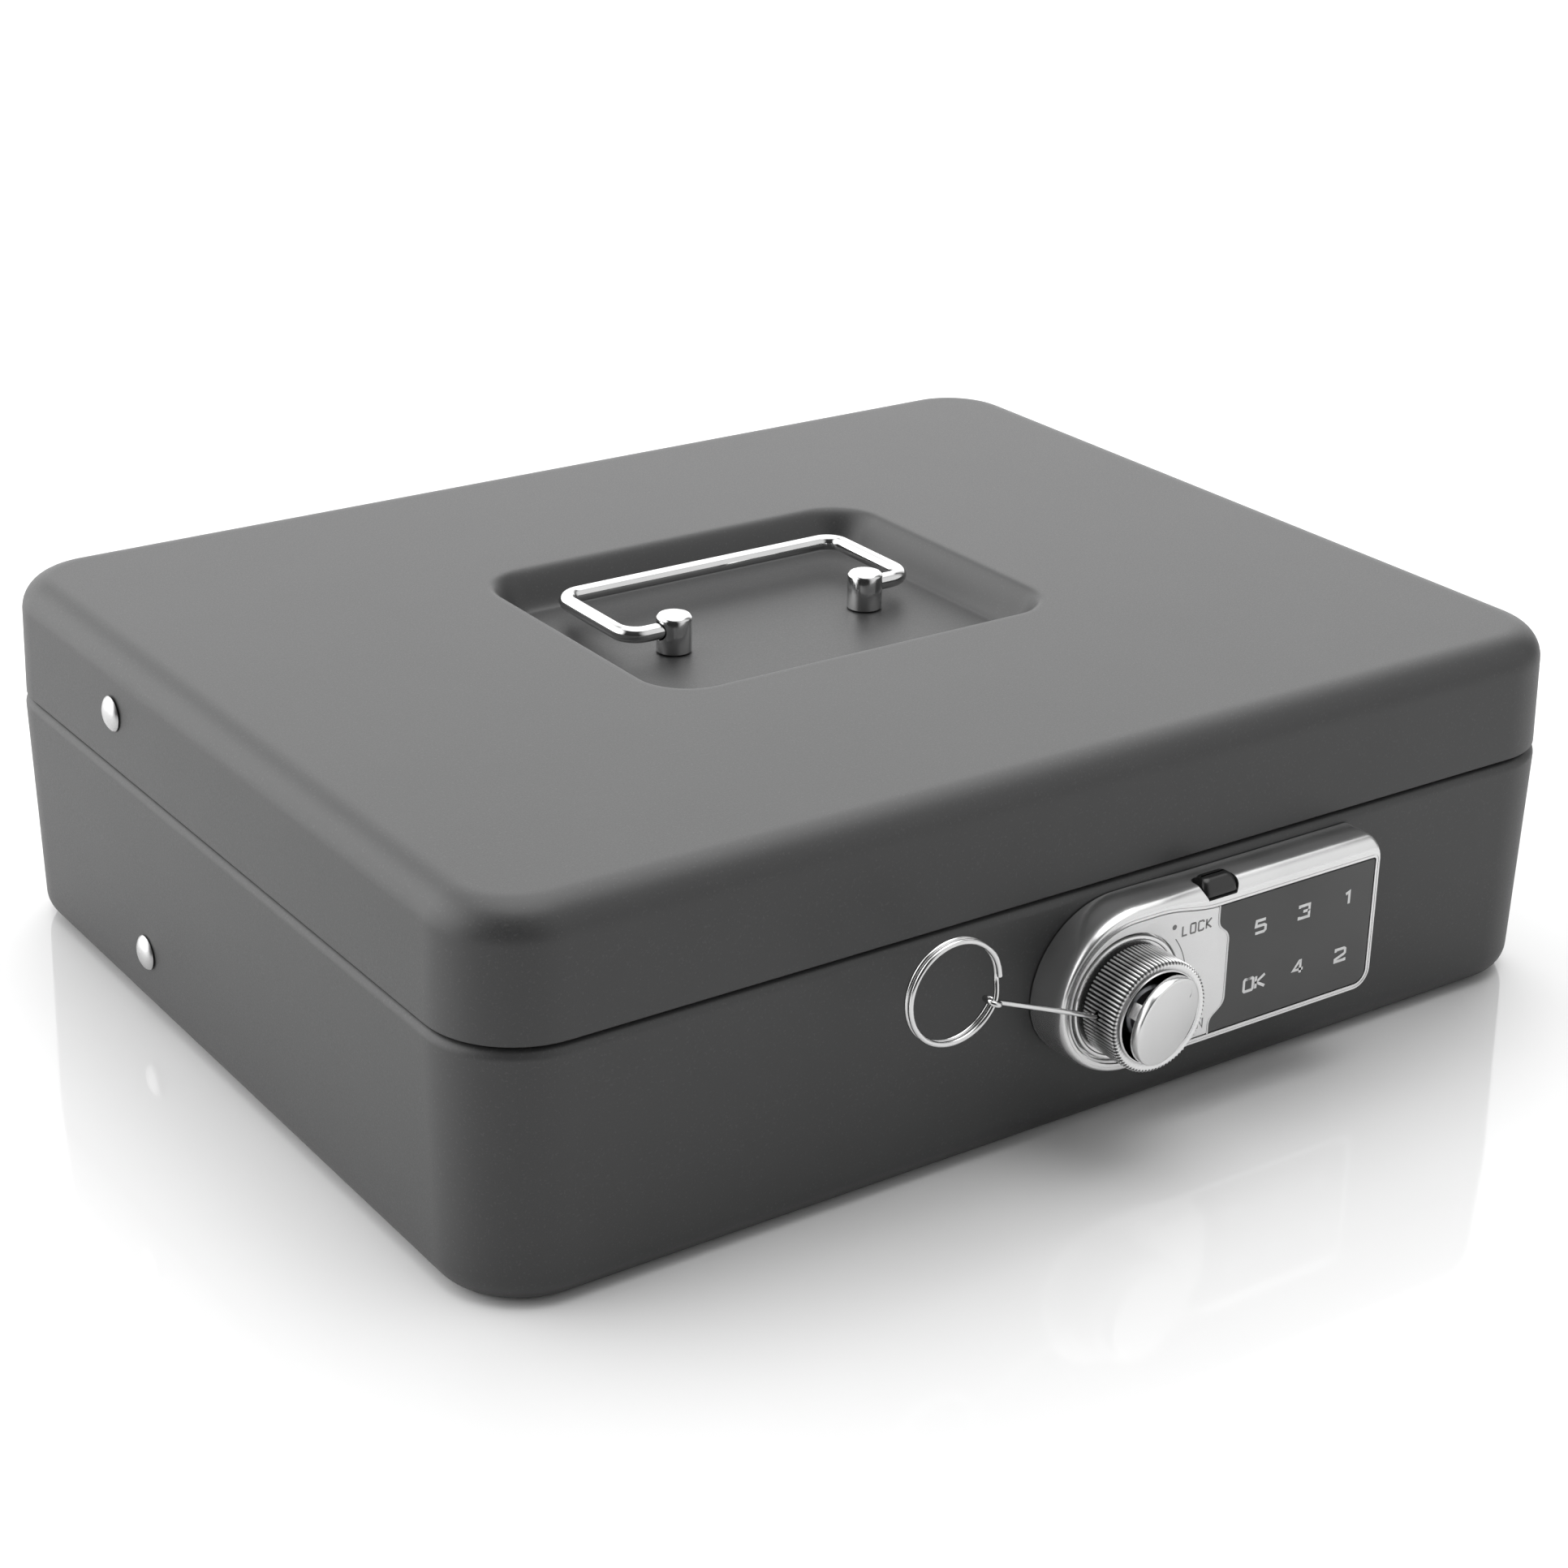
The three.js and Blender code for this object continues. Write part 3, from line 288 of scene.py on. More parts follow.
# --- mesh helpers
def mesh_of(verts, faces):
    """A closed mesh in metres from millimetre points, faces turned outwards."""
    mesh = bpy.data.meshes.new("piece")
    mesh.from_pydata([Vector(v) * MM for v in verts], [], faces)
    work = bmesh.new()
    work.from_mesh(mesh)
    bmesh.ops.remove_doubles(work, verts=work.verts, dist=1e-7)
    bmesh.ops.dissolve_degenerate(work, edges=work.edges, dist=1e-8)
    bmesh.ops.recalc_face_normals(work, faces=work.faces)
    work.to_mesh(mesh)
    work.free()
    return mesh


def joined(*meshes):
    """Several meshes as one, each kept as it is."""
    work = bmesh.new()
    for mesh in meshes:
        work.from_mesh(mesh)
    result = bpy.data.meshes.new("piece")
    work.to_mesh(result)
    work.free()
    return result


def boolean(mesh, tool, operation):
    holder = bpy.data.objects.new("holder", mesh)
    other = bpy.data.objects.new("tool", tool)
    for each in (holder, other):
        bpy.context.scene.collection.objects.link(each)
    modifier = holder.modifiers.new("cut", "BOOLEAN")
    modifier.operation, modifier.solver, modifier.object = operation, "EXACT", other
    graph = bpy.context.evaluated_depsgraph_get()
    result = bpy.data.meshes.new_from_object(holder.evaluated_get(graph))
    bpy.data.objects.remove(holder)
    bpy.data.objects.remove(other)
    return result


def carved(mesh, *tools):
    for tool in tools:
        mesh = boolean(mesh, tool, "DIFFERENCE")
    return mesh


def fused(mesh, *others):
    for other in others:
        mesh = boolean(mesh, other, "UNION")
    return mesh


def piece(name, mesh, slot, body, *nodes, sharp=32, material=None):
    """A shown piece that rides on a body and stands for the CAD nodes named."""
    mesh.name = name
    mesh.materials.clear()
    mesh.materials.append(material or SLOTS[slot])
    mesh.shade_smooth()
    mesh.set_sharp_from_angle(angle=math.radians(sharp))
    made = bpy.data.objects.new(name, mesh)
    bpy.context.scene.collection.objects.link(made)
    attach(made, body)
    if nodes:
        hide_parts(*nodes)
    return made


# --- shapes
def arc(u, v, radius, start, end, steps):
    angles = [math.radians(start + (end - start) * i / steps) for i in range(steps + 1)]
    return [(u + radius * math.cos(a), v + radius * math.sin(a)) for a in angles]


def rounded_rectangle(width, depth, radius, centre=(0, 0), steps=16, support=0.7):
    """An outline whose straight sides have a point just past each corner, which keeps them flat."""
    r = max(radius, 0.5)
    a, b = width / 2 - r, depth / 2 - r
    points = []
    for du, dv, start in ((a, b, 0), (-a, b, 90), (-a, -b, 180), (a, -b, 270)):
        corner = arc(centre[0] + du, centre[1] + dv, r, start, start + 90, steps)
        along = Vector((math.sin(math.radians(start)), -math.cos(math.radians(start))))
        after = Vector((-math.cos(math.radians(start)), -math.sin(math.radians(start))))
        first, last = Vector(corner[0]) + along * support, Vector(corner[-1]) + after * support
        points += [tuple(first), *corner, tuple(last)]
    return points


def loft(rings, loop=False):
    """A skin through rings of equally many points, with flat ends or joined into a loop."""
    count = len(rings[0])
    faces = []
    steps = range(len(rings)) if loop else range(len(rings) - 1)
    for ring in steps:
        low, high = ring * count, ((ring + 1) % len(rings)) * count
        faces += [
            (low + i, low + (i + 1) % count, high + (i + 1) % count, high + i) for i in range(count)
        ]
    if not loop:
        end = (len(rings) - 1) * count
        faces += [tuple(reversed(range(count))), tuple(range(end, end + count))]
    return mesh_of([point for ring in rings for point in ring], faces)


def level_ring(outline, z):
    return [(u, v, z) for u, v in outline]


def front_ring(outline, y):
    return [(u, y, v) for u, v in outline]


def turned(profile, at, way, sides=64, loop=False):
    """A profile of (radius, height) points turned about a line through `at` along `way`."""
    way = Vector(way).normalized()
    across = way.orthogonal().normalized()
    other = way.cross(across)
    at = Vector(at)
    rings = []
    for i in range(sides):
        turn = 2 * math.pi * i / sides
        out = across * math.cos(turn) + other * math.sin(turn)
        rings.append([tuple(at + out * r + way * h) for r, h in profile])
    count = len(profile)
    faces = []
    for i in range(sides):
        low, high = i * count, ((i + 1) % sides) * count
        for j in range(count if loop else count - 1):
            k = (j + 1) % count
            faces.append((low + j, high + j, high + k, low + k))
    return mesh_of([point for ring in rings for point in ring], faces)


def rod(start, end, radius, sides=32):
    start, end = Vector(start), Vector(end)
    length = (end - start).length
    return turned([(0, 0), (radius, 0), (radius, length), (0, length)], start, end - start, sides)


def block(low, high, edge=0.0):
    """A box between two corners, with its edges rounded."""
    work = bmesh.new()
    bmesh.ops.create_cube(work, size=1)
    size = Vector(high) - Vector(low)
    middle = (Vector(high) + Vector(low)) / 2
    for vert in work.verts:
        vert.co = (middle + Vector(c * s for c, s in zip(vert.co, size))) * MM
    if edge:
        bmesh.ops.bevel(
            work, geom=work.edges, offset=edge * MM, segments=3, profile=0.6, affect="EDGES",
        )
    mesh = bpy.data.meshes.new("piece")
    work.to_mesh(mesh)
    work.free()
    return mesh


def slab(outline, place, start, end, edge=0.0):
    """A flat outline given thickness, with rounded edges. `place` turns (u, v, level) into a point."""
    way = edge if end > start else -edge
    levels = [(edge * (1 - s), start + way * c) for s, c in quarter(3)]
    levels += [(edge * c, end - way * (1 - s)) for s, c in quarter(3)]
    if not edge:
        levels = [(0, start), (0, end)]
    rings = []
    for inset, level in levels:
        rings.append([place(*shrunk(outline, i, inset), level) for i in range(len(outline))])
    return loft(rings)


def shrunk(outline, index, inset):
    """A point of an anticlockwise outline, moved inwards square to its two sides."""
    here = Vector(outline[index])
    if not inset:
        return tuple(here)
    before, after = Vector(outline[index - 1]), Vector(outline[(index + 1) % len(outline)])
    first, second = (here - before).normalized(), (after - here).normalized()
    inward = Vector((-first.y - second.y, first.x + second.x))
    if inward.length < 1e-9:
        return tuple(here)
    inward.normalize()
    share = max(inward.dot(Vector((-first.y, first.x))), 0.4)
    return tuple(here + inward * inset / share)


def tube(points, radius, sides=16, closed=False):
    """A round wire along a list of points."""
    points = [Vector(p) for p in points]
    count = len(points)
    ways = []
    for i in range(count):
        ahead = points[(i + 1) % count] if closed or i + 1 < count else points[i]
        behind = points[i - 1] if closed or i else points[i]
        ways.append((ahead - behind).normalized())
    across = ways[0].orthogonal().normalized()
    rings = []
    for point, way in zip(points, ways):
        across = (across - way * across.dot(way)).normalized()
        other = way.cross(across)
        turns = [2 * math.pi * i / sides for i in range(sides)]
        rings.append([tuple(point + (across * math.cos(t) + other * math.sin(t)) * radius) for t in turns])
    return loft(rings, loop=closed)


def quarter(steps):
    """(sine, one less cosine) from 0 to a quarter turn."""
    turns = [math.pi / 2 * i / steps for i in range(steps + 1)]
    return [(math.sin(t), 1 - math.cos(t)) for t in turns]


# --- shells
LID_LOW, LID_HIGH = box_mm("lid_shell")
BASE_HIGH = box_mm("base_shell")[1]
WIDE, DEEP, TOP = LID_HIGH.x, LID_HIGH.y, LID_HIGH.z
SHEET, GAP, CORNER, PROUD = 1.2, 0.3, 20.9, 0.3
THREAD, SCREW_HEAD = 2.2, 2.2
BASE = {"top": 57, "foot": 0.8, "fillet": 6.4, "shoulder": 2.6, "lip": 2.9, "lip_top": BASE_HIGH.z}
LID = {"bottom": LID_LOW.z, "wall": 81, "lean": 0.6, "fillet": 8}
RECESS = {"at": (0, 4), "width": 108, "depth": 85, "corner": 11, "floor": 80.1, "lean": 2.6, "fillet": 2.7}


def plan(inset):
    return rounded_rectangle(2 * (WIDE - inset), 2 * (DEEP - inset), CORNER - inset, steps=20)


def plan_ring(inset, z):
    return level_ring(plan(inset), z)


def bend(inset0, z0, inset1, z1, early, steps=10):
    """Rings round a quarter turn. The inset changes first where `early` is true."""
    rings = []
    for lead, lag in quarter(steps):
        share, rise = (lead, lag) if early else (lag, lead)
        rings.append(plan_ring(inset0 + (inset1 - inset0) * share, z0 + (z1 - z0) * rise))
    return rings


def base_outside(grow):
    foot, fillet = BASE["foot"] - grow, BASE["fillet"]
    return [
        plan_ring(foot + fillet + 1, -grow), *bend(foot + fillet, -grow, foot, fillet, True),
        plan_ring(foot - 0.01, fillet + 0.6), plan_ring(-PROUD - grow, BASE["top"]),
    ]


def base_inset(z):
    share = (BASE["top"] - z) / (BASE["top"] - BASE["fillet"])
    return -PROUD + share * (BASE["foot"] + PROUD)


def lid_inset(z):
    return LID["lean"] * (z - LID["bottom"]) / (LID["wall"] - LID["bottom"])


def pivot_holes(node, radius):
    middle = centre_mm(node)
    return [
        rod((side * (WIDE - 12), middle.y, middle.z), (side * (WIDE + 12), middle.y, middle.z), radius)
        for side in (-1, 1)
    ]


def base_shell():
    lip = BASE["lip"] - PROUD
    shoulder = BASE["top"] + BASE["shoulder"]
    inner, foot = lip + SHEET, BASE["foot"] + SHEET
    rings = [
        *base_outside(0), *bend(-PROUD, BASE["top"], lip, shoulder, False)[1:],
        plan_ring(lip, BASE["lip_top"] - 0.3), plan_ring(lip + 0.3, BASE["lip_top"]),
        plan_ring(inner - 0.3, BASE["lip_top"]), plan_ring(inner, BASE["lip_top"] - 0.3),
        plan_ring(inner, shoulder - SHEET), plan_ring(base_inset(BASE["top"]) + SHEET, BASE["top"] - SHEET),
        *bend(foot, BASE["fillet"], foot + BASE["fillet"] - SHEET, SHEET, False),
        plan_ring(foot + BASE["fillet"], SHEET),
    ]
    fixings = [centre_mm(n) for n in ("lock_screw_lower", "lock_screw_upper", "housing_screw")]
    holes = [rod((c.x, -DEEP - 5, c.z), (c.x, -DEEP + 10, c.z), THREAD) for c in fixings]
    knob, lead = centre_mm("knob_collar"), centre_mm("solenoid_lead")
    holes.append(rod((knob.x, -DEEP - 5, knob.z), (knob.x, -DEEP + 10, knob.z), 7.3, 48))
    holes.append(rod((lead.x, -DEEP - 5, lead.z), (lead.x, -DEEP + 10, lead.z), 1.8))
    shell = carved(loft(rings), joined(*holes, *pivot_holes("base_rivet_left", 2.5)))
    piece("box_base", shell, "paint", "base", "base_shell")


def recess_rings(grow, steps=16):
    """Outlines of the handle's recess, up its smooth slope from its floor to its lip."""
    r, lean, floor_z = RECESS["fillet"], RECESS["lean"], RECESS["floor"]

    def ring(inset, z):
        extra = 2 * (grow - inset)
        outline = rounded_rectangle(
            RECESS["width"] + extra, RECESS["depth"] + extra, RECESS["corner"] + grow - inset,
            RECESS["at"], steps=20,
        )
        return level_ring(outline, z - grow)

    reach, deep = lean + 2 * r, TOP - floor_z
    shares = [i / steps for i in range(steps + 1)]
    slope = [ring(lean + r - reach * t, floor_z + deep * t * t * (3 - 2 * t)) for t in shares]
    return [ring(r + lean + 1, floor_z), *slope, ring(-r - 1, TOP)]


def lid_shell():
    lean, fillet = LID["lean"], LID["fillet"]
    rings = [
        *recess_rings(SHEET), plan_ring(lean + fillet + 1, TOP - SHEET),
        *bend(lean + fillet, TOP - SHEET, lean + SHEET, LID["wall"], True),
        plan_ring(SHEET, LID["bottom"] + 0.2), plan_ring(SHEET - 0.2, LID["bottom"]),
        plan_ring(0.25, LID["bottom"]), plan_ring(0, LID["bottom"] + 0.25),
        *bend(lean, LID["wall"], lean + fillet, TOP, False, 14), plan_ring(lean + fillet + 1, TOP),
        *reversed(recess_rings(0)),
    ]
    posts = [centre_mm("handle_post_" + side) for side in ("left", "right")]
    below, above = 74, 84
    holes = [rod((c.x, c.y, below), (c.x, c.y, above), 2.3) for c in posts]
    shell = carved(loft(rings), joined(*holes, *pivot_holes("lid_rivet_left", 2.5)))
    piece("box_lid", shell, "paint", "lid", "lid_shell")


# --- handle
BAIL = {"wire": 2.0, "bend": 5, "reach": 31.7, "arm": 40.5, "end": 24.8}


def handle_bail():
    low, high = box_mm("handle_bail")
    y, z, r = low.y + BAIL["wire"], (low.z + high.z) / 2, BAIL["bend"]
    far, arm = y + BAIL["reach"], BAIL["arm"]
    half = [
        (-BAIL["end"], y), (-arm + 2 * r, y), *arc(-arm + r, y + r, r, 270, 180, 14),
        (-arm, y + BAIL["reach"] / 2), *arc(-arm + r, far - r, r, 180, 90, 14),
    ]
    route = [*half, (-10, far), (10, far), *[(-u, v) for u, v in reversed(half)]]
    wire = tube([(u, v, z) for u, v in route], BAIL["wire"], 24)
    piece("bail", wire, "chrome", "handle", "handle_bail", sharp=50)


def handle_posts():
    bail = centre_mm("handle_bail")
    for side, sign in (("left", -1), ("right", 1)):
        node = "handle_post_" + side
        low, high = box_mm(node)
        at = Vector(((low.x + high.x) / 2, (low.y + high.y) / 2, 0))
        r, top, foot = (high.x - low.x) / 2, high.z, low.z
        profile = [(0, foot), (r - 0.15, foot), (r, foot + 0.15), (r, top - 0.62), (r - 0.06, top - 0.5)]
        profile += [(r - 0.5, top - 0.06), (r - 0.62, top), (0, top)]
        start, end = sign * (BAIL["end"] - 0.6), sign * 40
        stub = rod((start, at.y, bail.z), (end, at.y, bail.z), BAIL["wire"] + GAP, 40)
        thread = rod((at.x, at.y, foot - 1), (at.x, at.y, bail.z - 3.2), THREAD)
        post = carved(turned(profile, at, Z, 72), stub, thread)
        piece("post_" + side, post, "chrome", "lid", node)


# --- rivets, screws and pins
def pivot_rivet(name, node, body, side, wall, carried):
    """A stepped rivet from inside the wall: its shoulder carries a side plate, its head shows outside."""
    middle = centre_mm(node)
    out, within = wall + GAP, wall - SHEET - GAP
    head = [(0, out + 1.7), (1.2, out + 1.62), (2.2, out + 1.42), (3, out + 1.12), (3.7, out + 0.72),
            (4.1, out + 0.36), (4.25, out + 0.1), (4.2, out)]
    shank, collar = 2.2, 3.5
    profile = head + [
        (shank, out), (shank, within), (collar, within), (collar, carried + 1.5), (shank, carried + 1.5),
        (shank, carried - GAP), (collar, carried - GAP), (collar, carried - 1), (collar - 0.2, carried - 1.2),
        (0, carried - 1.2),
    ]
    mesh = turned(profile, (0, middle.y, middle.z), X * side, 64)
    piece(name, mesh, "steel", body, node, sharp=40)


def all_rivets():
    for side, sign in (("left", -1), ("right", 1)):
        lid, base = "lid_rivet_" + side, "base_rivet_" + side
        pivot_rivet("rivet_lid_" + side, lid, "lid", sign, WIDE - lid_inset(centre_mm(lid).z), 142)
        pivot_rivet("rivet_base_" + side, base, "base", sign, WIDE - base_inset(centre_mm(base).z), 143.5)


def screw(name, node, body, way, head=3.6, shank=1.9):
    """A pan-head screw with a cross recess. Its head's underside lies one head's height from its end."""
    low, high = box_mm(node)
    middle = (low + high) / 2
    length = abs((high - low).dot(way)) - SCREW_HEAD
    near = low if way.dot(Vector((1, 1, 1))) > 0 else high
    seat = Vector(near[i] + way[i] * SCREW_HEAD if way[i] else middle[i] for i in range(3))
    profile = [(0, -SCREW_HEAD), (1.2, -2.14), (2.2, -1.9), (3, -1.45), (3.45, -0.85)]
    profile += [(head, -0.4), (head, 0), (shank, 0)]
    profile += [(shank, length - 0.4), (shank - 0.4, length), (0, length)]
    across = way.orthogonal().normalized()
    other = way.cross(across)
    mesh = turned(profile, seat, way, 48)
    for u, v in ((across, other), (other, across)):
        corner = seat - way * 1.0 + u * 1.9 + v * 0.35
        far = seat - way * 4 - u * 1.9 - v * 0.35
        low_c = Vector(min(a, b) for a, b in zip(corner, far))
        high_c = Vector(max(a, b) for a, b in zip(corner, far))
        mesh = carved(mesh, block(low_c, high_c))
    piece(name, mesh, "steel", body, node, sharp=35)


def all_screws():
    screw("screw_lock_lower", "lock_screw_lower", "base", FRONT)
    screw("screw_lock_upper", "lock_screw_upper", "base", FRONT)
    screw("screw_housing", "housing_screw", "base", FRONT)
    for side in ("left", "right"):
        screw("screw_post_" + side, "post_screw_" + side, "lid", Z)


# --- cantilever tray
def tray_pockets(low, high, wall=2):
    """Corners of the compartments: five coin cups in front and two long ones behind."""
    divide = 4 + (low.y + high.y) / 2
    found = []
    for count, y0, y1 in ((5, low.y + wall, divide - wall / 2), (2, divide + wall / 2, high.y - wall)):
        pitch = (high.x - low.x - wall) / count
        for i in range(count):
            x0 = low.x + wall + i * pitch
            found.append((x0, x0 + pitch - wall, y0, y1))
    return found


def coin_tray():
    low, high = box_mm("coin_tray")
    centre = (0, (low.y + high.y) / 2)
    bottom, top, floor = low.z, high.z, 2.5

    def skirt(inset, z):
        return level_ring(rounded_rectangle(
            high.x - low.x - 2 * inset, high.y - low.y - 2 * inset, 8 - inset, centre, 12), z)

    body = loft([
        skirt(3.4, bottom), *[skirt(3 - 2.2 * s, bottom + 2.5 * c) for s, c in quarter(6)],
        skirt(0.35, top - 0.6), skirt(0.3, top - 0.25), skirt(0.55, top),
    ])
    pockets = []
    for x0, x1, y0, y1 in tray_pockets(low, high):
        middle = ((x0 + x1) / 2, (y0 + y1) / 2)

        def ring(inset, z):
            return level_ring(rounded_rectangle(
                x1 - x0 - 2 * inset, y1 - y0 - 2 * inset, max(6 - inset / 2, 2), middle, 10), z)

        base = bottom + floor
        scoop = [ring(12 - 10.6 * s, base + 8 * c) for s, c in quarter(8)]
        pockets.append(loft([ring(14, base), *scoop, ring(0.35, top - 0.5), ring(0, top), ring(0, top + 1)]))
    holes = []
    for row in ("front", "rear"):
        at = centre_mm("bracket_rivet_" + row + "_left")
        holes += [rod((side * 130, at.y, at.z), (side * 150, at.y, at.z), 1.9) for side in (-1, 1)]
    piece("coin_tray_fine", carved(body, joined(*pockets), joined(*holes)), "tray", "tray", "coin_tray")


def side_place(sign):
    return lambda u, v, level: (sign * level, u, v)


def round_bar(first, second, half):
    lean = math.degrees(math.atan2(second[1] - first[1], second[0] - first[0]))
    return arc(*first, half, lean + 90, lean + 270, 20) + arc(*second, half, lean - 90, lean + 90, 20)


def side_rods(sign, points, radius):
    return [rod((sign * 130, u, v), (sign * 160, u, v), radius) for u, v in points]


def tray_arms():
    """The links and brackets that carry the tray on each side."""
    low_pivot, high_pivot = centre_mm("base_rivet_left"), centre_mm("lid_rivet_left")
    tray_pivot = centre_mm("tray_pin_left")
    base, lid, tray = [(p.y, p.z) for p in (low_pivot, high_pivot, tray_pivot)]
    rivets = [centre_mm("bracket_rivet_" + row + "_left") for row in ("front", "rear")]
    outline = [
        *arc(*tray, 6, 110, 280, 18), (28, 42), (45, 50), *arc(*lid, 6, -30, 110, 18), (26, 63), (-26, 60),
    ]
    for side, sign in (("left", -1), ("right", 1)):
        place = side_place(sign)
        link = slab(round_bar(base, tray, 5.5), place, 143.5, 144.7, 0.25)
        link = carved(link, joined(*side_rods(sign, [base, tray], 2.5)))
        piece("link_" + side, link, "zinc", "tray_link_" + side, "tray_link_" + side, sharp=50)
        bracket = slab(outline, place, 142, 143.2, 0.25)
        holes = side_rods(sign, [tray, lid], 2.5) + side_rods(sign, [(p.y, p.z) for p in rivets], 1.9)
        bracket = carved(bracket, joined(*holes))
        piece("bracket_" + side, bracket, "zinc", "tray", "tray_bracket_" + side, sharp=50)


# --- lock housing
HOUSE_LOW, HOUSE_HIGH = box_mm("lock_housing")
FACE = {"y": HOUSE_LOW.y, "skin": -127.2, "plate": 0.7, "rim": 1.2}
# The housing's outline at the skin and at its face: the round end's centre, then its reach to the left,
# up and down; the right edge; the top and bottom edges; and the radii of the two right corners.
HOUSING = {
    "round": (7.1, 36, 21.3, 21.3, 18.1), "right": HOUSE_HIGH.x, "edges": (57, 19.2), "corners": (2.5, 5.5),
}
BEZEL = {
    "round": (5.9, 36.8, 19.1, 18.7, 17.55), "right": 77.9, "edges": (53.3, 19.3), "corners": (2, 4.6),
}
KNOB = centre_mm("knob_collar")
HOLE = 15.05


def lock_outline(shape, inset=0.0):
    """A round left end, which eases into straight top and bottom edges, and two corners at the right."""
    x, z, wide, high, low = shape["round"]
    wide, high, low = wide - inset, high - inset, low - inset
    right, top, bottom = shape["right"] - inset, shape["edges"][0] - inset, shape["edges"][1] + inset
    c1, c2 = [max(c - inset, 0.6) for c in shape["corners"]]

    def ease(start, end, share):
        return start + (end - start) * (1 - math.cos(math.pi * share)) / 2

    shares = [i / 16 for i in range(17)]
    straight = [32 + i * 8 for i in range(5)]
    round_end = [(x + wide * u, z + (high if v > 0 else low) * v) for u, v in arc(0, 0, 1, 90, 270, 64)]
    above = [(12 + 17.5 * t, ease(z + high, top, t)) for t in shares]
    below = [(11 + 12 * t, ease(z - low, bottom, t)) for t in shares]
    return [
        *arc(right - c2, bottom + c2, c2, -90, 0, 12), *arc(right - c1, top - c1, c1, 0, 90, 10),
        *[(u, top) for u in reversed(straight)], *reversed(above),
        *round_end, *below, *[(u, bottom) for u in straight],
    ]


def blended_outline(share, inset=0.0):
    foot, face = lock_outline(HOUSING, inset), lock_outline(BEZEL, inset)
    return [(a + (c - a) * share, b + (d - b) * share) for (a, b), (c, d) in zip(foot, face)]


def housing_body(back, front):
    depth = FACE["skin"] - front
    rings = [front_ring(blended_outline(c), FACE["skin"] - depth * s) for s, c in quarter(14)]
    return loft([front_ring(blended_outline(0), back), *rings])


def housing_room(wall):
    return loft([front_ring(blended_outline(0, wall), y) for y in (-110, FACE["skin"])])


def rim_groove():
    """A fine groove that runs round the face, just inside its rim's outer edge."""
    bottom, clear = FACE["y"] + 0.16, FACE["y"] - 1
    outer, inner = [
        loft([front_ring(lock_outline(BEZEL, inset), y) for y in (bottom, clear)]) for inset in (0.42, 0.66)
    ]
    return carved(outer, inner)


def face_slab(inset, back, front, soft=0.0):
    rings = [(inset, back)]
    if soft:
        rings += [(inset, front + soft), (inset + soft * 0.3, front + soft * 0.3)]
    rings.append((inset + soft, front))
    return loft([front_ring(lock_outline(BEZEL, i), y) for i, y in rings])


def front_rod(x, z, radius, back, front, sides=48):
    return rod((x, back, z), (x, front, z), radius, sides)


def lock_housing():
    face = FACE["y"]
    drawer_low, drawer_high = box_mm("battery_drawer")
    fixings = [centre_mm(n) for n in ("lock_screw_lower", "lock_screw_upper", "housing_screw")]
    posts = [front_rod(c.x, c.z, 2.8, -119, FACE["skin"] - 0.4) for c in fixings]
    threads = [front_rod(c.x, c.z, THREAD, -110, -125.5) for c in fixings]
    shell = fused(carved(housing_body(-115, face), housing_room(2)), joined(*posts))
    envelope = loft([*base_outside(GAP), plan_ring(-PROUD - GAP, BASE["top"] + 8)])
    notch = loft([level_ring(button_outline(-0.3, 0), z) for z in (53.9, 70)])
    play, outside = 0.4, 90
    mouth = block(
        (drawer_high.x + 0.1, drawer_low.y - 4, drawer_low.z + play),
        (outside, drawer_high.y + play, drawer_high.z - play),
    )
    bay = block(
        (drawer_high.x - 6, drawer_low.y - play, drawer_low.z - play),
        (outside, drawer_high.y + play, drawer_high.z + play),
    )
    shell = carved(
        shell, joined(*threads), envelope,
        face_slab(FACE["rim"], face + FACE["plate"] + GAP, face - 1),
        front_rod(KNOB.x, KNOB.z, HOLE, face + 2, face - 2, 128),
        front_rod(KNOB.x, KNOB.z, 5.5, -115, face, 64), notch, bay, mouth, rim_groove(),
    )
    piece("lock_cover", shell, "satin", "base", "lock_housing", sharp=28)


# The border between the light plate and the dark panel steps in and out once.
EDGE = [(29.6, 60), (29.6, 47), (32.8, 44.4), (32.8, 27.4), (28.6, 24.3), (28.6, 10)]


def softened(points, radius, steps=5):
    """An open line with each inner corner turned into a short curve."""
    result = [points[0]]
    for before, here, after in zip(points, points[1:], points[2:]):
        a, b, c = Vector(before), Vector(here), Vector(after)
        start = b + (a - b).normalized() * min(radius, (a - b).length / 2)
        end = b + (c - b).normalized() * min(radius, (c - b).length / 2)
        for i in range(steps + 1):
            t = i / steps
            result.append(tuple(start * (1 - t) ** 2 + b * 2 * t * (1 - t) + end * t * t))
    return [*result, points[-1]]


def face_plates():
    """The light legend plate and the dark touch panel, set flush in the housing's rim."""
    face, back = FACE["y"], FACE["y"] + FACE["plate"]
    edge = softened(EDGE, 1.6)
    wide = [(90, 60), *edge, (90, 10)]
    left = [(u - GAP, v) for u, v in edge]
    narrow = [(-20, 10), *reversed(left), (-20, 60)]
    cutters = [
        loft([front_ring(shape, face + 5), front_ring(shape, face - 5)]) for shape in (wide, narrow)
    ]
    slabs = [face_slab(FACE["rim"] + GAP, back, face, 0.12) for _ in cutters]
    panel, plate = [boolean(s, c, "INTERSECT") for s, c in zip(slabs, cutters)]
    plate = carved(plate, front_rod(KNOB.x, KNOB.z, HOLE, face + 2, face - 2, 128))
    piece("keypad_panel", panel, "panel", "base", "touch_panel", sharp=25)
    piece("dial_plate", plate, "legend", "base", "legend_plate", sharp=25)


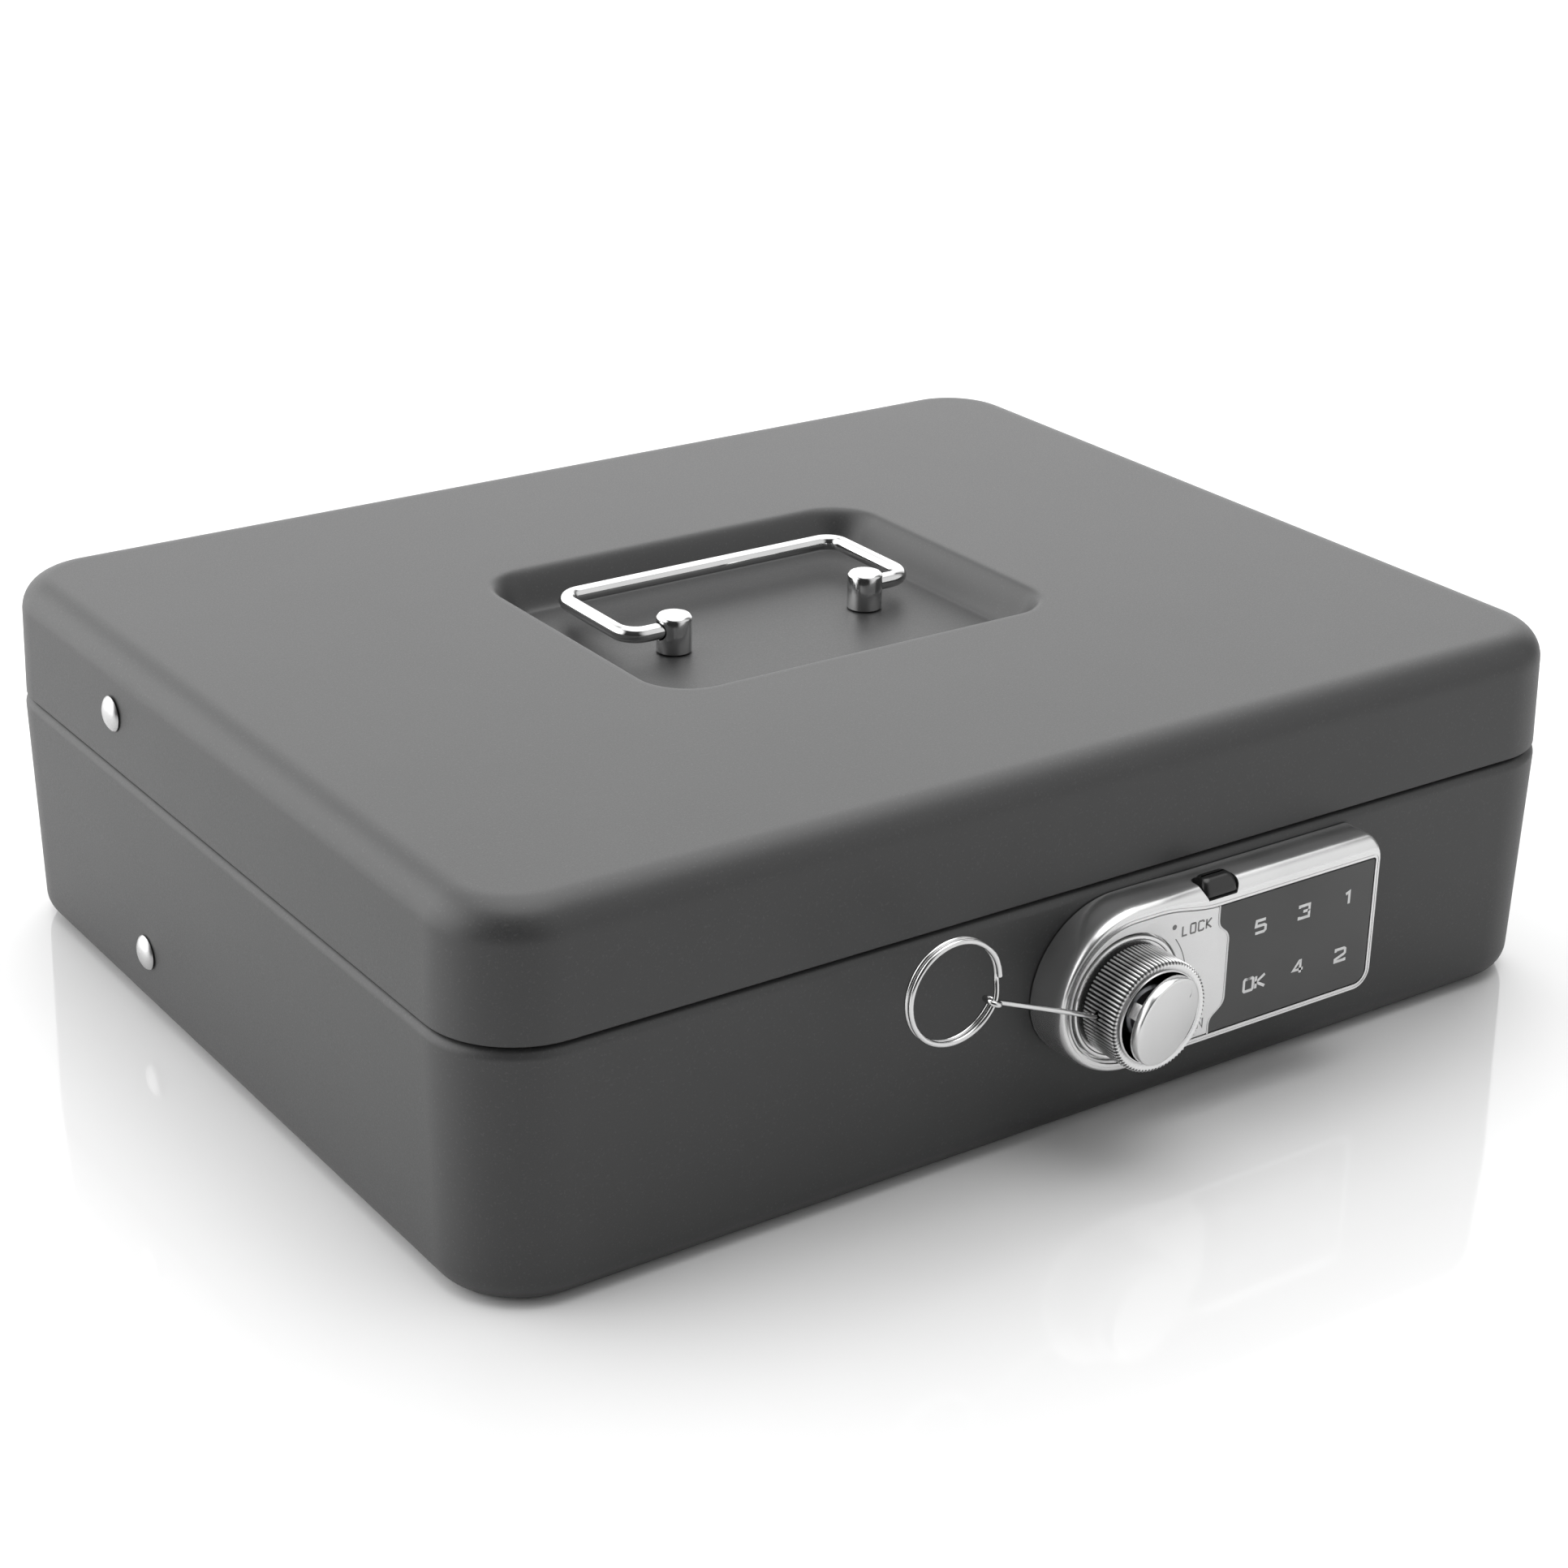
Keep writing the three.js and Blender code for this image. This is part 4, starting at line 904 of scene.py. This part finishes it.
# --- printed marks
# Letters drawn as strokes in a box one unit wide and one high.
STROKES = {
    "1": [[(0.25, 0.86), (0.62, 1.0), (0.62, 0.0)]],
    "2": [[(0.02, 0.8), (0.02, 1.0), (0.86, 1.0), (1.0, 0.9), (1.0, 0.58), (0.9, 0.5), (0.0, 0.2), (0.0, 0.0),
           (1.0, 0.0), (1.0, 0.14)]],
    "3": [[(0.02, 0.84), (0.02, 1.0), (1.0, 1.0), (1.0, 0.62), (0.86, 0.52), (0.4, 0.52)],
          [(0.86, 0.52), (1.0, 0.42), (1.0, 0.0), (0.0, 0.0), (0.0, 0.16)]],
    "4": [[(0.72, 0.0), (0.72, 1.0), (0.6, 1.0), (0.0, 0.3), (1.0, 0.3)]],
    "5": [[(0.96, 1.0), (0.08, 1.0), (0.02, 0.56), (0.84, 0.56), (1.0, 0.46), (1.0, 0.12), (0.86, 0.0),
           (0.0, 0.0)]],
    "O": [[(0.5, 1.0), (0.9, 1.0), (1.0, 0.9), (1.0, 0.1), (0.9, 0.0), (0.1, 0.0), (0.0, 0.1), (0.0, 0.9),
           (0.1, 1.0), (0.5, 1.0)]],
    "K": [[(0.0, 1.0), (0.0, 0.0)], [(0.96, 1.0), (0.06, 0.5), (1.0, 0.0)]],
    "L": [[(0.0, 1.0), (0.0, 0.0), (0.9, 0.0)]],
    "C": [[(1.0, 0.8), (1.0, 0.92), (0.86, 1.0), (0.14, 1.0), (0.0, 0.9), (0.0, 0.1), (0.14, 0.0),
           (0.86, 0.0), (1.0, 0.08), (1.0, 0.2)]],
    "P": [[(0.0, 0.0), (0.0, 1.0), (0.88, 1.0), (1.0, 0.9), (1.0, 0.54), (0.88, 0.46), (0.0, 0.46)]],
    "E": [[(0.96, 1.0), (0.0, 1.0), (0.0, 0.0), (0.96, 0.0)], [(0.0, 0.52), (0.8, 0.52)]],
    "N": [[(0.0, 0.0), (0.0, 1.0), (1.0, 0.0), (1.0, 1.0)]],
}
INK_DEEP = 0.03


def stroke(points, width):
    """A flat line of ink of the given width along (x, z) points, on the lock's face."""
    points = [Vector(p) for p in points]
    left, right = [], []
    for i, point in enumerate(points):
        ways = []
        if i:
            ways.append((point - points[i - 1]).normalized())
        if i + 1 < len(points):
            ways.append((points[i + 1] - point).normalized())
        way = sum(ways, Vector((0, 0))).normalized()
        across = Vector((-way.y, way.x))
        share = max(abs(across.dot(Vector((-ways[0].y, ways[0].x)))), 0.55)
        reach = across * width / 2 / share
        left.append(tuple(point + reach))
        right.append(tuple(point - reach))
    face = FACE["y"]
    verts, faces = [], []
    for (a, b), (c, d) in zip(left, right):
        verts += [(a, face - INK_DEEP, b), (c, face - INK_DEEP, d), (a, face + 0.01, b), (c, face + 0.01, d)]
    for i in range(len(points) - 1):
        j, k = 4 * i, 4 * i + 4
        faces += [(j, k, k + 1, j + 1), (j + 2, j + 3, k + 3, k + 2)]
        faces += [(j, j + 2, k + 2, k), (j + 1, k + 1, k + 3, j + 3)]
    end = 4 * (len(points) - 1)
    faces += [(0, 1, 3, 2), (end, end + 2, end + 3, end + 1)]
    return mesh_of(verts, faces)


def lettering(text, centre, high, wide, gap, weight):
    """Meshes of a word centred on (x, z), each letter `wide` by `high`."""
    start = centre[0] - (len(text) * wide + (len(text) - 1) * gap) / 2
    made = []
    for i, letter in enumerate(text):
        x0, z0 = start + i * (wide + gap), centre[1] - high / 2
        for line in STROKES[letter]:
            made.append(stroke([(x0 + u * wide, z0 + v * high) for u, v in line], weight))
    return made


DIGITS = (("5", 42.3, 43.7), ("3", 55.4, 43.9), ("1", 68.8, 43.8), ("4", 55.0, 30.0), ("2", 68.0, 29.6))


def printed_marks():
    keys = [m for text, x, z in DIGITS for m in lettering(text, (x, z), 3.0, 3.0, 1.0, 0.7)]
    keys += lettering("OK", (41.8, 29.7), 3.0, 2.7, 0.85, 0.7)
    border = softened([(EDGE[0][0], 52), *EDGE[1:-1], (EDGE[-1][0], 20.6)], 1.6)
    keys.append(stroke(border, 0.45))
    piece("key_digits", joined(*keys), "legend", "base", material=INK["white"])
    words = lettering("LOCK", (23.2, 48.6), 2.3, 1.45, 0.85, 0.42)
    words += lettering("OPEN", (22.7, 24.0), 2.3, 1.45, 0.85, 0.42)
    words.append(turned([(0, FACE["y"] - INK_DEEP), (0.62, FACE["y"] - INK_DEEP), (0.62, FACE["y"] + 0.01),
                         (0, FACE["y"] + 0.01)], (16.6, 0, 50.2), Y, 32))
    words.append(stroke(arc(KNOB.x, KNOB.z, 16.9, 38, -8, 24), 0.22))
    piece("dial_words", joined(*words), "legend", "base", material=INK["grey"])


# --- knob
RIDGES, RIDGE = 82, 0.5


def ridged_ring(radius, y, share):
    """A ring about the knob's axis, cut by the grip's ridges as far as `share` says."""
    points, sides = [], RIDGES * 12
    for i in range(sides):
        turn = 2 * math.pi * i / sides
        wave = 0.5 - 0.5 * math.cos(RIDGES * turn)
        r = radius - share * RIDGE * wave * wave * (3 - 2 * wave)
        points.append((KNOB.x + r * math.cos(turn), y, KNOB.z + r * math.sin(turn)))
    return points


TOOL_WAY = Vector(next(j["axis"] for j in frame["joints"] if j["name"] == "release_tool_slide")).normalized()
RING = {"at": centre_mm("split_ring"), "radius": 11.4, "wire": 0.6, "step": 0.67}
EYE = RING["at"] - (Matrix.Rotation(math.radians(4), 3, "Y") @ TOOL_WAY) * RING["radius"]


def tool_point(distance):
    """A point on the release pin's line, by its distance inwards from the ring's wire."""
    return EYE - TOOL_WAY * distance


def knob_barrel():
    low, high = box_mm("knob_barrel")
    rear, front = high.y, low.y
    profile = [
        (4.3, rear, 0), (12.2, rear, 0), (12.9, rear - 0.2, 1), (13, rear - 0.4, 1), (13, front + 0.7, 1),
        (12.85, front + 0.45, 1), (12.5, front + 0.22, 0.9), (12.3, front + 0.14, 0.4),
        (12.15, front + 0.12, 0), (10.95, front + 0.28, 0), (10.85, front + 0.22, 0),
        (10.78, front + 0.04, 0), (10.68, front, 0), (10.58, front + 0.02, 0), (10.52, front + 0.12, 0),
        (10.52, front + 2.6, 0), (11.3, front + 3, 0), (11.3, rear - 2.9, 0), (4.3, rear - 2.9, 0),
    ]
    barrel = loft([ridged_ring(*step) for step in profile], loop=True)
    pin_hole = rod(tool_point(8), tool_point(40), RING["wire"] + GAP, 32)
    grip = carved(barrel, pin_hole)
    piece("knob_grip", grip, "satin", "knob", "knob_barrel", sharp=38, material=ridged_material())


def knob_collar():
    low, high = box_mm("knob_collar")
    r, back, face = (high.x - low.x) / 2, -high.y, -low.y
    profile = [
        (4.6, back), (r, back), (r, face - 0.45), (r - 0.1, face - 0.15), (r - 0.35, face), (r - 0.75, face),
        (r - 0.95, face - 0.12), (r - 1.05, face - 0.4), (4.6, face - 0.4),
    ]
    collar = turned(profile, (KNOB.x, 0, KNOB.z), FRONT, 128, loop=True)
    piece("collar_ring", collar, "satin", "base", "knob_collar", sharp=35)


def key_cover():
    """The round cover, ajar on its hinge, with a fingernail nick near its edge."""
    joint = next(j for j in frame["joints"] if j["name"] == "key_cover_swing")
    hinge, axis = Vector(joint["pos_m"]) / MM, Vector(joint["axis"]).normalized()
    ajar = math.radians(-joint["range_deg"][0])
    face, r, thick = -box_mm("knob_barrel")[0].y + 0.2, 10.4, 2.2
    back = face - thick
    profile = [(0, back), (r - 0.4, back), (r - 0.1, back + 0.12), (r, back + 0.4), (r, face - 0.4)]
    profile += [(r - 0.12, face - 0.15), (r - 0.35, face - 0.03), (r - 0.6, face), (0, face)]
    disc = turned(profile, (KNOB.x, 0, KNOB.z), FRONT, 128)
    turn = Matrix.Rotation(math.radians(28), 4, "Y")
    tab = block((-9.3, -back - 0.3, -1.8), (-8.3, -back + 2.6, 1.8), 0.15)
    tab.transform(Matrix.Scale(1 / MM, 4))
    tab.transform(Matrix.Translation(Vector((KNOB.x, 0, KNOB.z))) @ turn)
    tab.transform(Matrix.Scale(MM, 4))
    at = (KNOB.x + 5.2, KNOB.z + 5.0)
    nick = tube([(u, -face, v) for u, v in arc(*at, 1.5, -42, 36, 12)], 0.16, 12)
    shut = carved(fused(disc, tab), nick, rod(hinge - axis * 9, hinge + axis * 9, 0.75, 24))
    swing = Matrix.Translation(hinge * MM) @ Matrix.Rotation(ajar, 4, axis) @ Matrix.Translation(-hinge * MM)
    shut.transform(swing)
    piece("cover_disc", shut, "satin", "key_cover", "key_cover", sharp=35)


# --- release pin and split ring
def split_ring():
    """Two turns of wire side by side, crossing over between the two ends."""
    start, end, cross = 4, 694, (334, 364)
    points = []
    for i in range(231):
        angle = start + (end - start) * i / 230
        share = min(max((angle - cross[0]) / (cross[1] - cross[0]), 0), 1)
        lift = RING["step"] * (2 * share * share * (3 - 2 * share) - 1)
        turn = math.radians(angle)
        out = Vector((math.cos(turn), 0, math.sin(turn))) * RING["radius"]
        points.append(RING["at"] + out + Y * lift)
    piece("ring_wire", tube(points, RING["wire"], 20), "chrome", "release_tool", "split_ring", sharp=50)


def release_pin():
    """A straight wire with a narrow eye round the ring."""
    turns = [math.radians(a) for a in range(0, 360, 10)]
    path = [tool_point(1.35 * math.cos(t)) + Y * 1.95 * math.sin(t) for t in turns]
    eye = tube(path, RING["wire"], 16, True)
    shaft = rod(tool_point(1.4), tool_point(PIN_LENGTH), RING["wire"], 24)
    piece("pin_wire", fused(eye, shaft), "chrome", "release_tool", "release_pin", sharp=50)


def pin_length():
    """How far the pin reaches from the ring's wire, from the far corner of its box."""
    low, high = box_mm("release_pin")
    inner = Vector((high.x, 0, low.z))
    return (EYE - Vector((0, EYE.y, 0)) - inner).dot(TOOL_WAY) - RING["wire"] * 0.3


PIN_LENGTH = pin_length()


# --- button, drawer and lock parts
def wake_button():
    """A glossy cap that leans back out of its notch, on a stem with a foot inside."""
    low, high = box_mm("wake_button")
    middle, top = (low.x + high.x) / 2, high.z
    steps = [
        (0.12, 54.5, 0), (0, 54.65, 0), (0.04, 55.2, 0.06), (0.2, 56, 0.16), (0.5, 56.9, 0.35),
        (0.85, 57.6, 0.55), (1.25, 58, 0.72), (1.75, top - 0.04, 0.85), (2.2, top, 0.9),
    ]
    cap = loft([level_ring(button_outline(inset, back), z) for inset, z, back in steps])
    stem = block((middle - 3.4, FACE["skin"] + 0.6, 51.8), (middle + 3.4, low.y + 5.4, 56), 0.2)
    foot = block((middle - 4.8, FACE["skin"] + 0.6, low.z), (middle + 4.8, high.y, 52), 0.2)
    piece("button_cap", fused(cap, stem, foot), "black", "wake_button", "wake_button", sharp=40)


def button_outline(inset, back):
    """The cap's outline in plan, drawn in by `inset` and moved back by `back`."""
    low, high = box_mm("wake_button")
    width, depth = high.x - low.x, 5.6
    at = ((low.x + high.x) / 2, low.y + depth / 2 + back)
    return rounded_rectangle(width - 2 * inset, depth - 2 * inset, max(1.7 - inset * 0.4, 0.3), at, 10, 0.3)


def front_place(u, v, level):
    return (u, level, v)


def hinges():
    """Each hinge has a leaf on the base, a leaf on the lid, and a pin through their knuckles."""
    for side in ("left", "right"):
        low, high = box_mm("hinge_pin_" + side)
        y, z, x = (low.y + high.y) / 2, (low.z + high.z) / 2, (low.x + high.x) / 2
        half, mid, knuckle, pin = (high.x - low.x) / 2, 7.7, 2.5, (high.z - low.z) / 2

        def on_axis(start, end, radius, sides=48):
            return rod((x + start, y, z), (x + end, y, z), radius, sides)

        def heads(points, level):
            profile = [(0, 0.7), (0.9, 0.63), (1.7, 0.4), (2.05, 0.1), (2.05, -0.2), (0, -0.2)]
            return [turned(profile, (x + u, level, v), Y, 32) for u, v in points]

        bore = on_axis(-half - 1, half + 1, pin + GAP)
        gap = mid + GAP

        def leaf(name, body, node, outline, face, knuckles, rivets_z):
            plate = slab([(x + u, v) for u, v in outline], front_place, face, face - 1, 0.2)
            plate = carved(fused(plate, *[on_axis(*span, knuckle) for span in knuckles]), bore)
            plate = fused(plate, *heads([(u, rivets_z) for u in (-16, 0, 16)], face))
            piece(name + side, plate, "paint", body, node + side, sharp=35)

        low_leaf = [
            (-half, 44), (half, 44), (half, 57.8), (gap, 57.8), (gap, 56.2), (-gap, 56.2), (-gap, 57.8),
            (-half, 57.8),
        ]
        high_leaf = [
            (-half, 62.4), (-mid, 62.4), (-mid, 60.9), (mid, 60.9), (mid, 62.4), (half, 62.4),
            (half, 74), (-half, 74),
        ]
        leaf("hinge_low_", "base", "hinge_base_leaf_", low_leaf, 121.6, ((-half, -gap), (gap, half)), 49)
        leaf("hinge_high_", "lid", "hinge_lid_leaf_", high_leaf, 121.3, ((-mid, mid),), 68.4)
        length, soft = 2 * half, 0.25
        profile = [(0, 0), (pin - soft, 0), (pin, soft)]
        profile += [(pin, length - soft), (pin - soft, length), (0, length)]
        rodlet = turned(profile, (low.x, y, z), X, 32)
        piece("hinge_rod_" + side, rodlet, "steel", "base", "hinge_pin_" + side)


# --- camera, light and floor
CAMERA = {"at": (-403.12, -583.94, 350.45), "across": -34.86, "up": 23.65, "roll": 1.03, "lens": 72.085}


def camera():
    """A camera in front and to the left, looking down on the box, turned a degree about its line of sight."""
    across, rise, roll = [math.radians(CAMERA[key]) for key in ("across", "up", "roll")]
    back = Vector((math.sin(across) * math.cos(rise), -math.cos(across) * math.cos(rise), math.sin(rise)))
    right = Z.cross(back).normalized()
    up = back.cross(right)
    right, up = (
        right * math.cos(roll) + up * math.sin(roll), up * math.cos(roll) - right * math.sin(roll),
    )
    data = bpy.data.cameras.new("camera")
    data.lens, data.sensor_width, data.clip_start, data.clip_end = CAMERA["lens"], 36, 0.01, 50
    view = bpy.data.objects.new("camera", data)
    turn = Matrix((right, up, back)).transposed().to_4x4()
    view.matrix_world = Matrix.Translation(Vector(CAMERA["at"]) * MM) @ turn
    bpy.context.scene.collection.objects.link(view)
    bpy.context.scene.camera = view


def floor():
    g = Graph("floor")
    mottle = g.noise(60, detail=2)
    g.relief([(g.noise(2, detail=2), 0.002)])
    material = g.finish(g.shade(grey(0.77), g.spread(mottle, 0.995, 1.005)), 0.06, Specular_IOR_Level=0.4)
    mesh = bpy.data.meshes.new("floor")
    half = 14
    corners = [(-half, -half, 0), (half, -half, 0), (half, half, 0), (-half, half, 0)]
    mesh.from_pydata(corners, [], [(0, 1, 2, 3)])
    mesh.materials.append(material)
    made = bpy.data.objects.new("floor", mesh)
    clearance = 0.2 * MM
    made.location.z = CAD_BOX[0].z - clearance
    bpy.context.scene.collection.objects.link(made)


def studio():
    """Soft boxes overhead, behind on both sides and, weakly, in front to the right."""
    world = bpy.data.worlds.new("studio")
    bpy.context.scene.world = world
    world.use_nodes = True
    nodes, links = world.node_tree.nodes, world.node_tree.links
    place = nodes.new("ShaderNodeTexCoord").outputs["Generated"]

    def lobe(way, start, end, strength):
        dot = nodes.new("ShaderNodeVectorMath")
        dot.operation = "DOT_PRODUCT"
        links.new(place, dot.inputs[0])
        dot.inputs[1].default_value = Vector(way).normalized()
        spread = nodes.new("ShaderNodeMapRange")
        spread.interpolation_type = "SMOOTHSTEP"
        for key, value in (("From Min", start), ("From Max", end), ("To Min", 0), ("To Max", strength)):
            spread.inputs[key].default_value = value
        links.new(dot.outputs["Value"], spread.inputs["Value"])
        return spread.outputs["Result"]

    total = None
    for lobe_facts in LOBES:
        value = lobe(*lobe_facts)
        if total is not None:
            added = nodes.new("ShaderNodeMath")
            links.new(total, added.inputs[0])
            links.new(value, added.inputs[1])
            value = added.outputs[0]
        total = value
    links.new(total, nodes["Background"].inputs["Strength"])
    nodes["Background"].inputs["Color"].default_value = (1, 1, 1, 1)


# Each lobe of light: its direction, the cosines where it starts and is full, and its strength.
LOBES = (
    ((0.15, 0.1, 1), 0.8, 0.97, 3.2),
    ((0.52, 0.75, 0.3), 0.6, 0.95, 1.95),
    ((-0.75, 0.6, 0.3), 0.6, 0.95, 3.4),
    ((0.6, -0.75, 0.4), 0.6, 0.95, 1.0),
    ((0, 0, 1), -1.0, 1.0, 0.06),
)


def main():
    bpy.context.scene.view_settings.view_transform = "Standard"
    dress_cad_nodes()
    base_shell()
    lid_shell()
    handle_bail()
    handle_posts()
    all_rivets()
    all_screws()
    coin_tray()
    tray_arms()
    lock_housing()
    face_plates()
    printed_marks()
    knob_barrel()
    knob_collar()
    key_cover()
    split_ring()
    release_pin()
    wake_button()
    hinges()
    camera()
    floor()
    studio()


main()
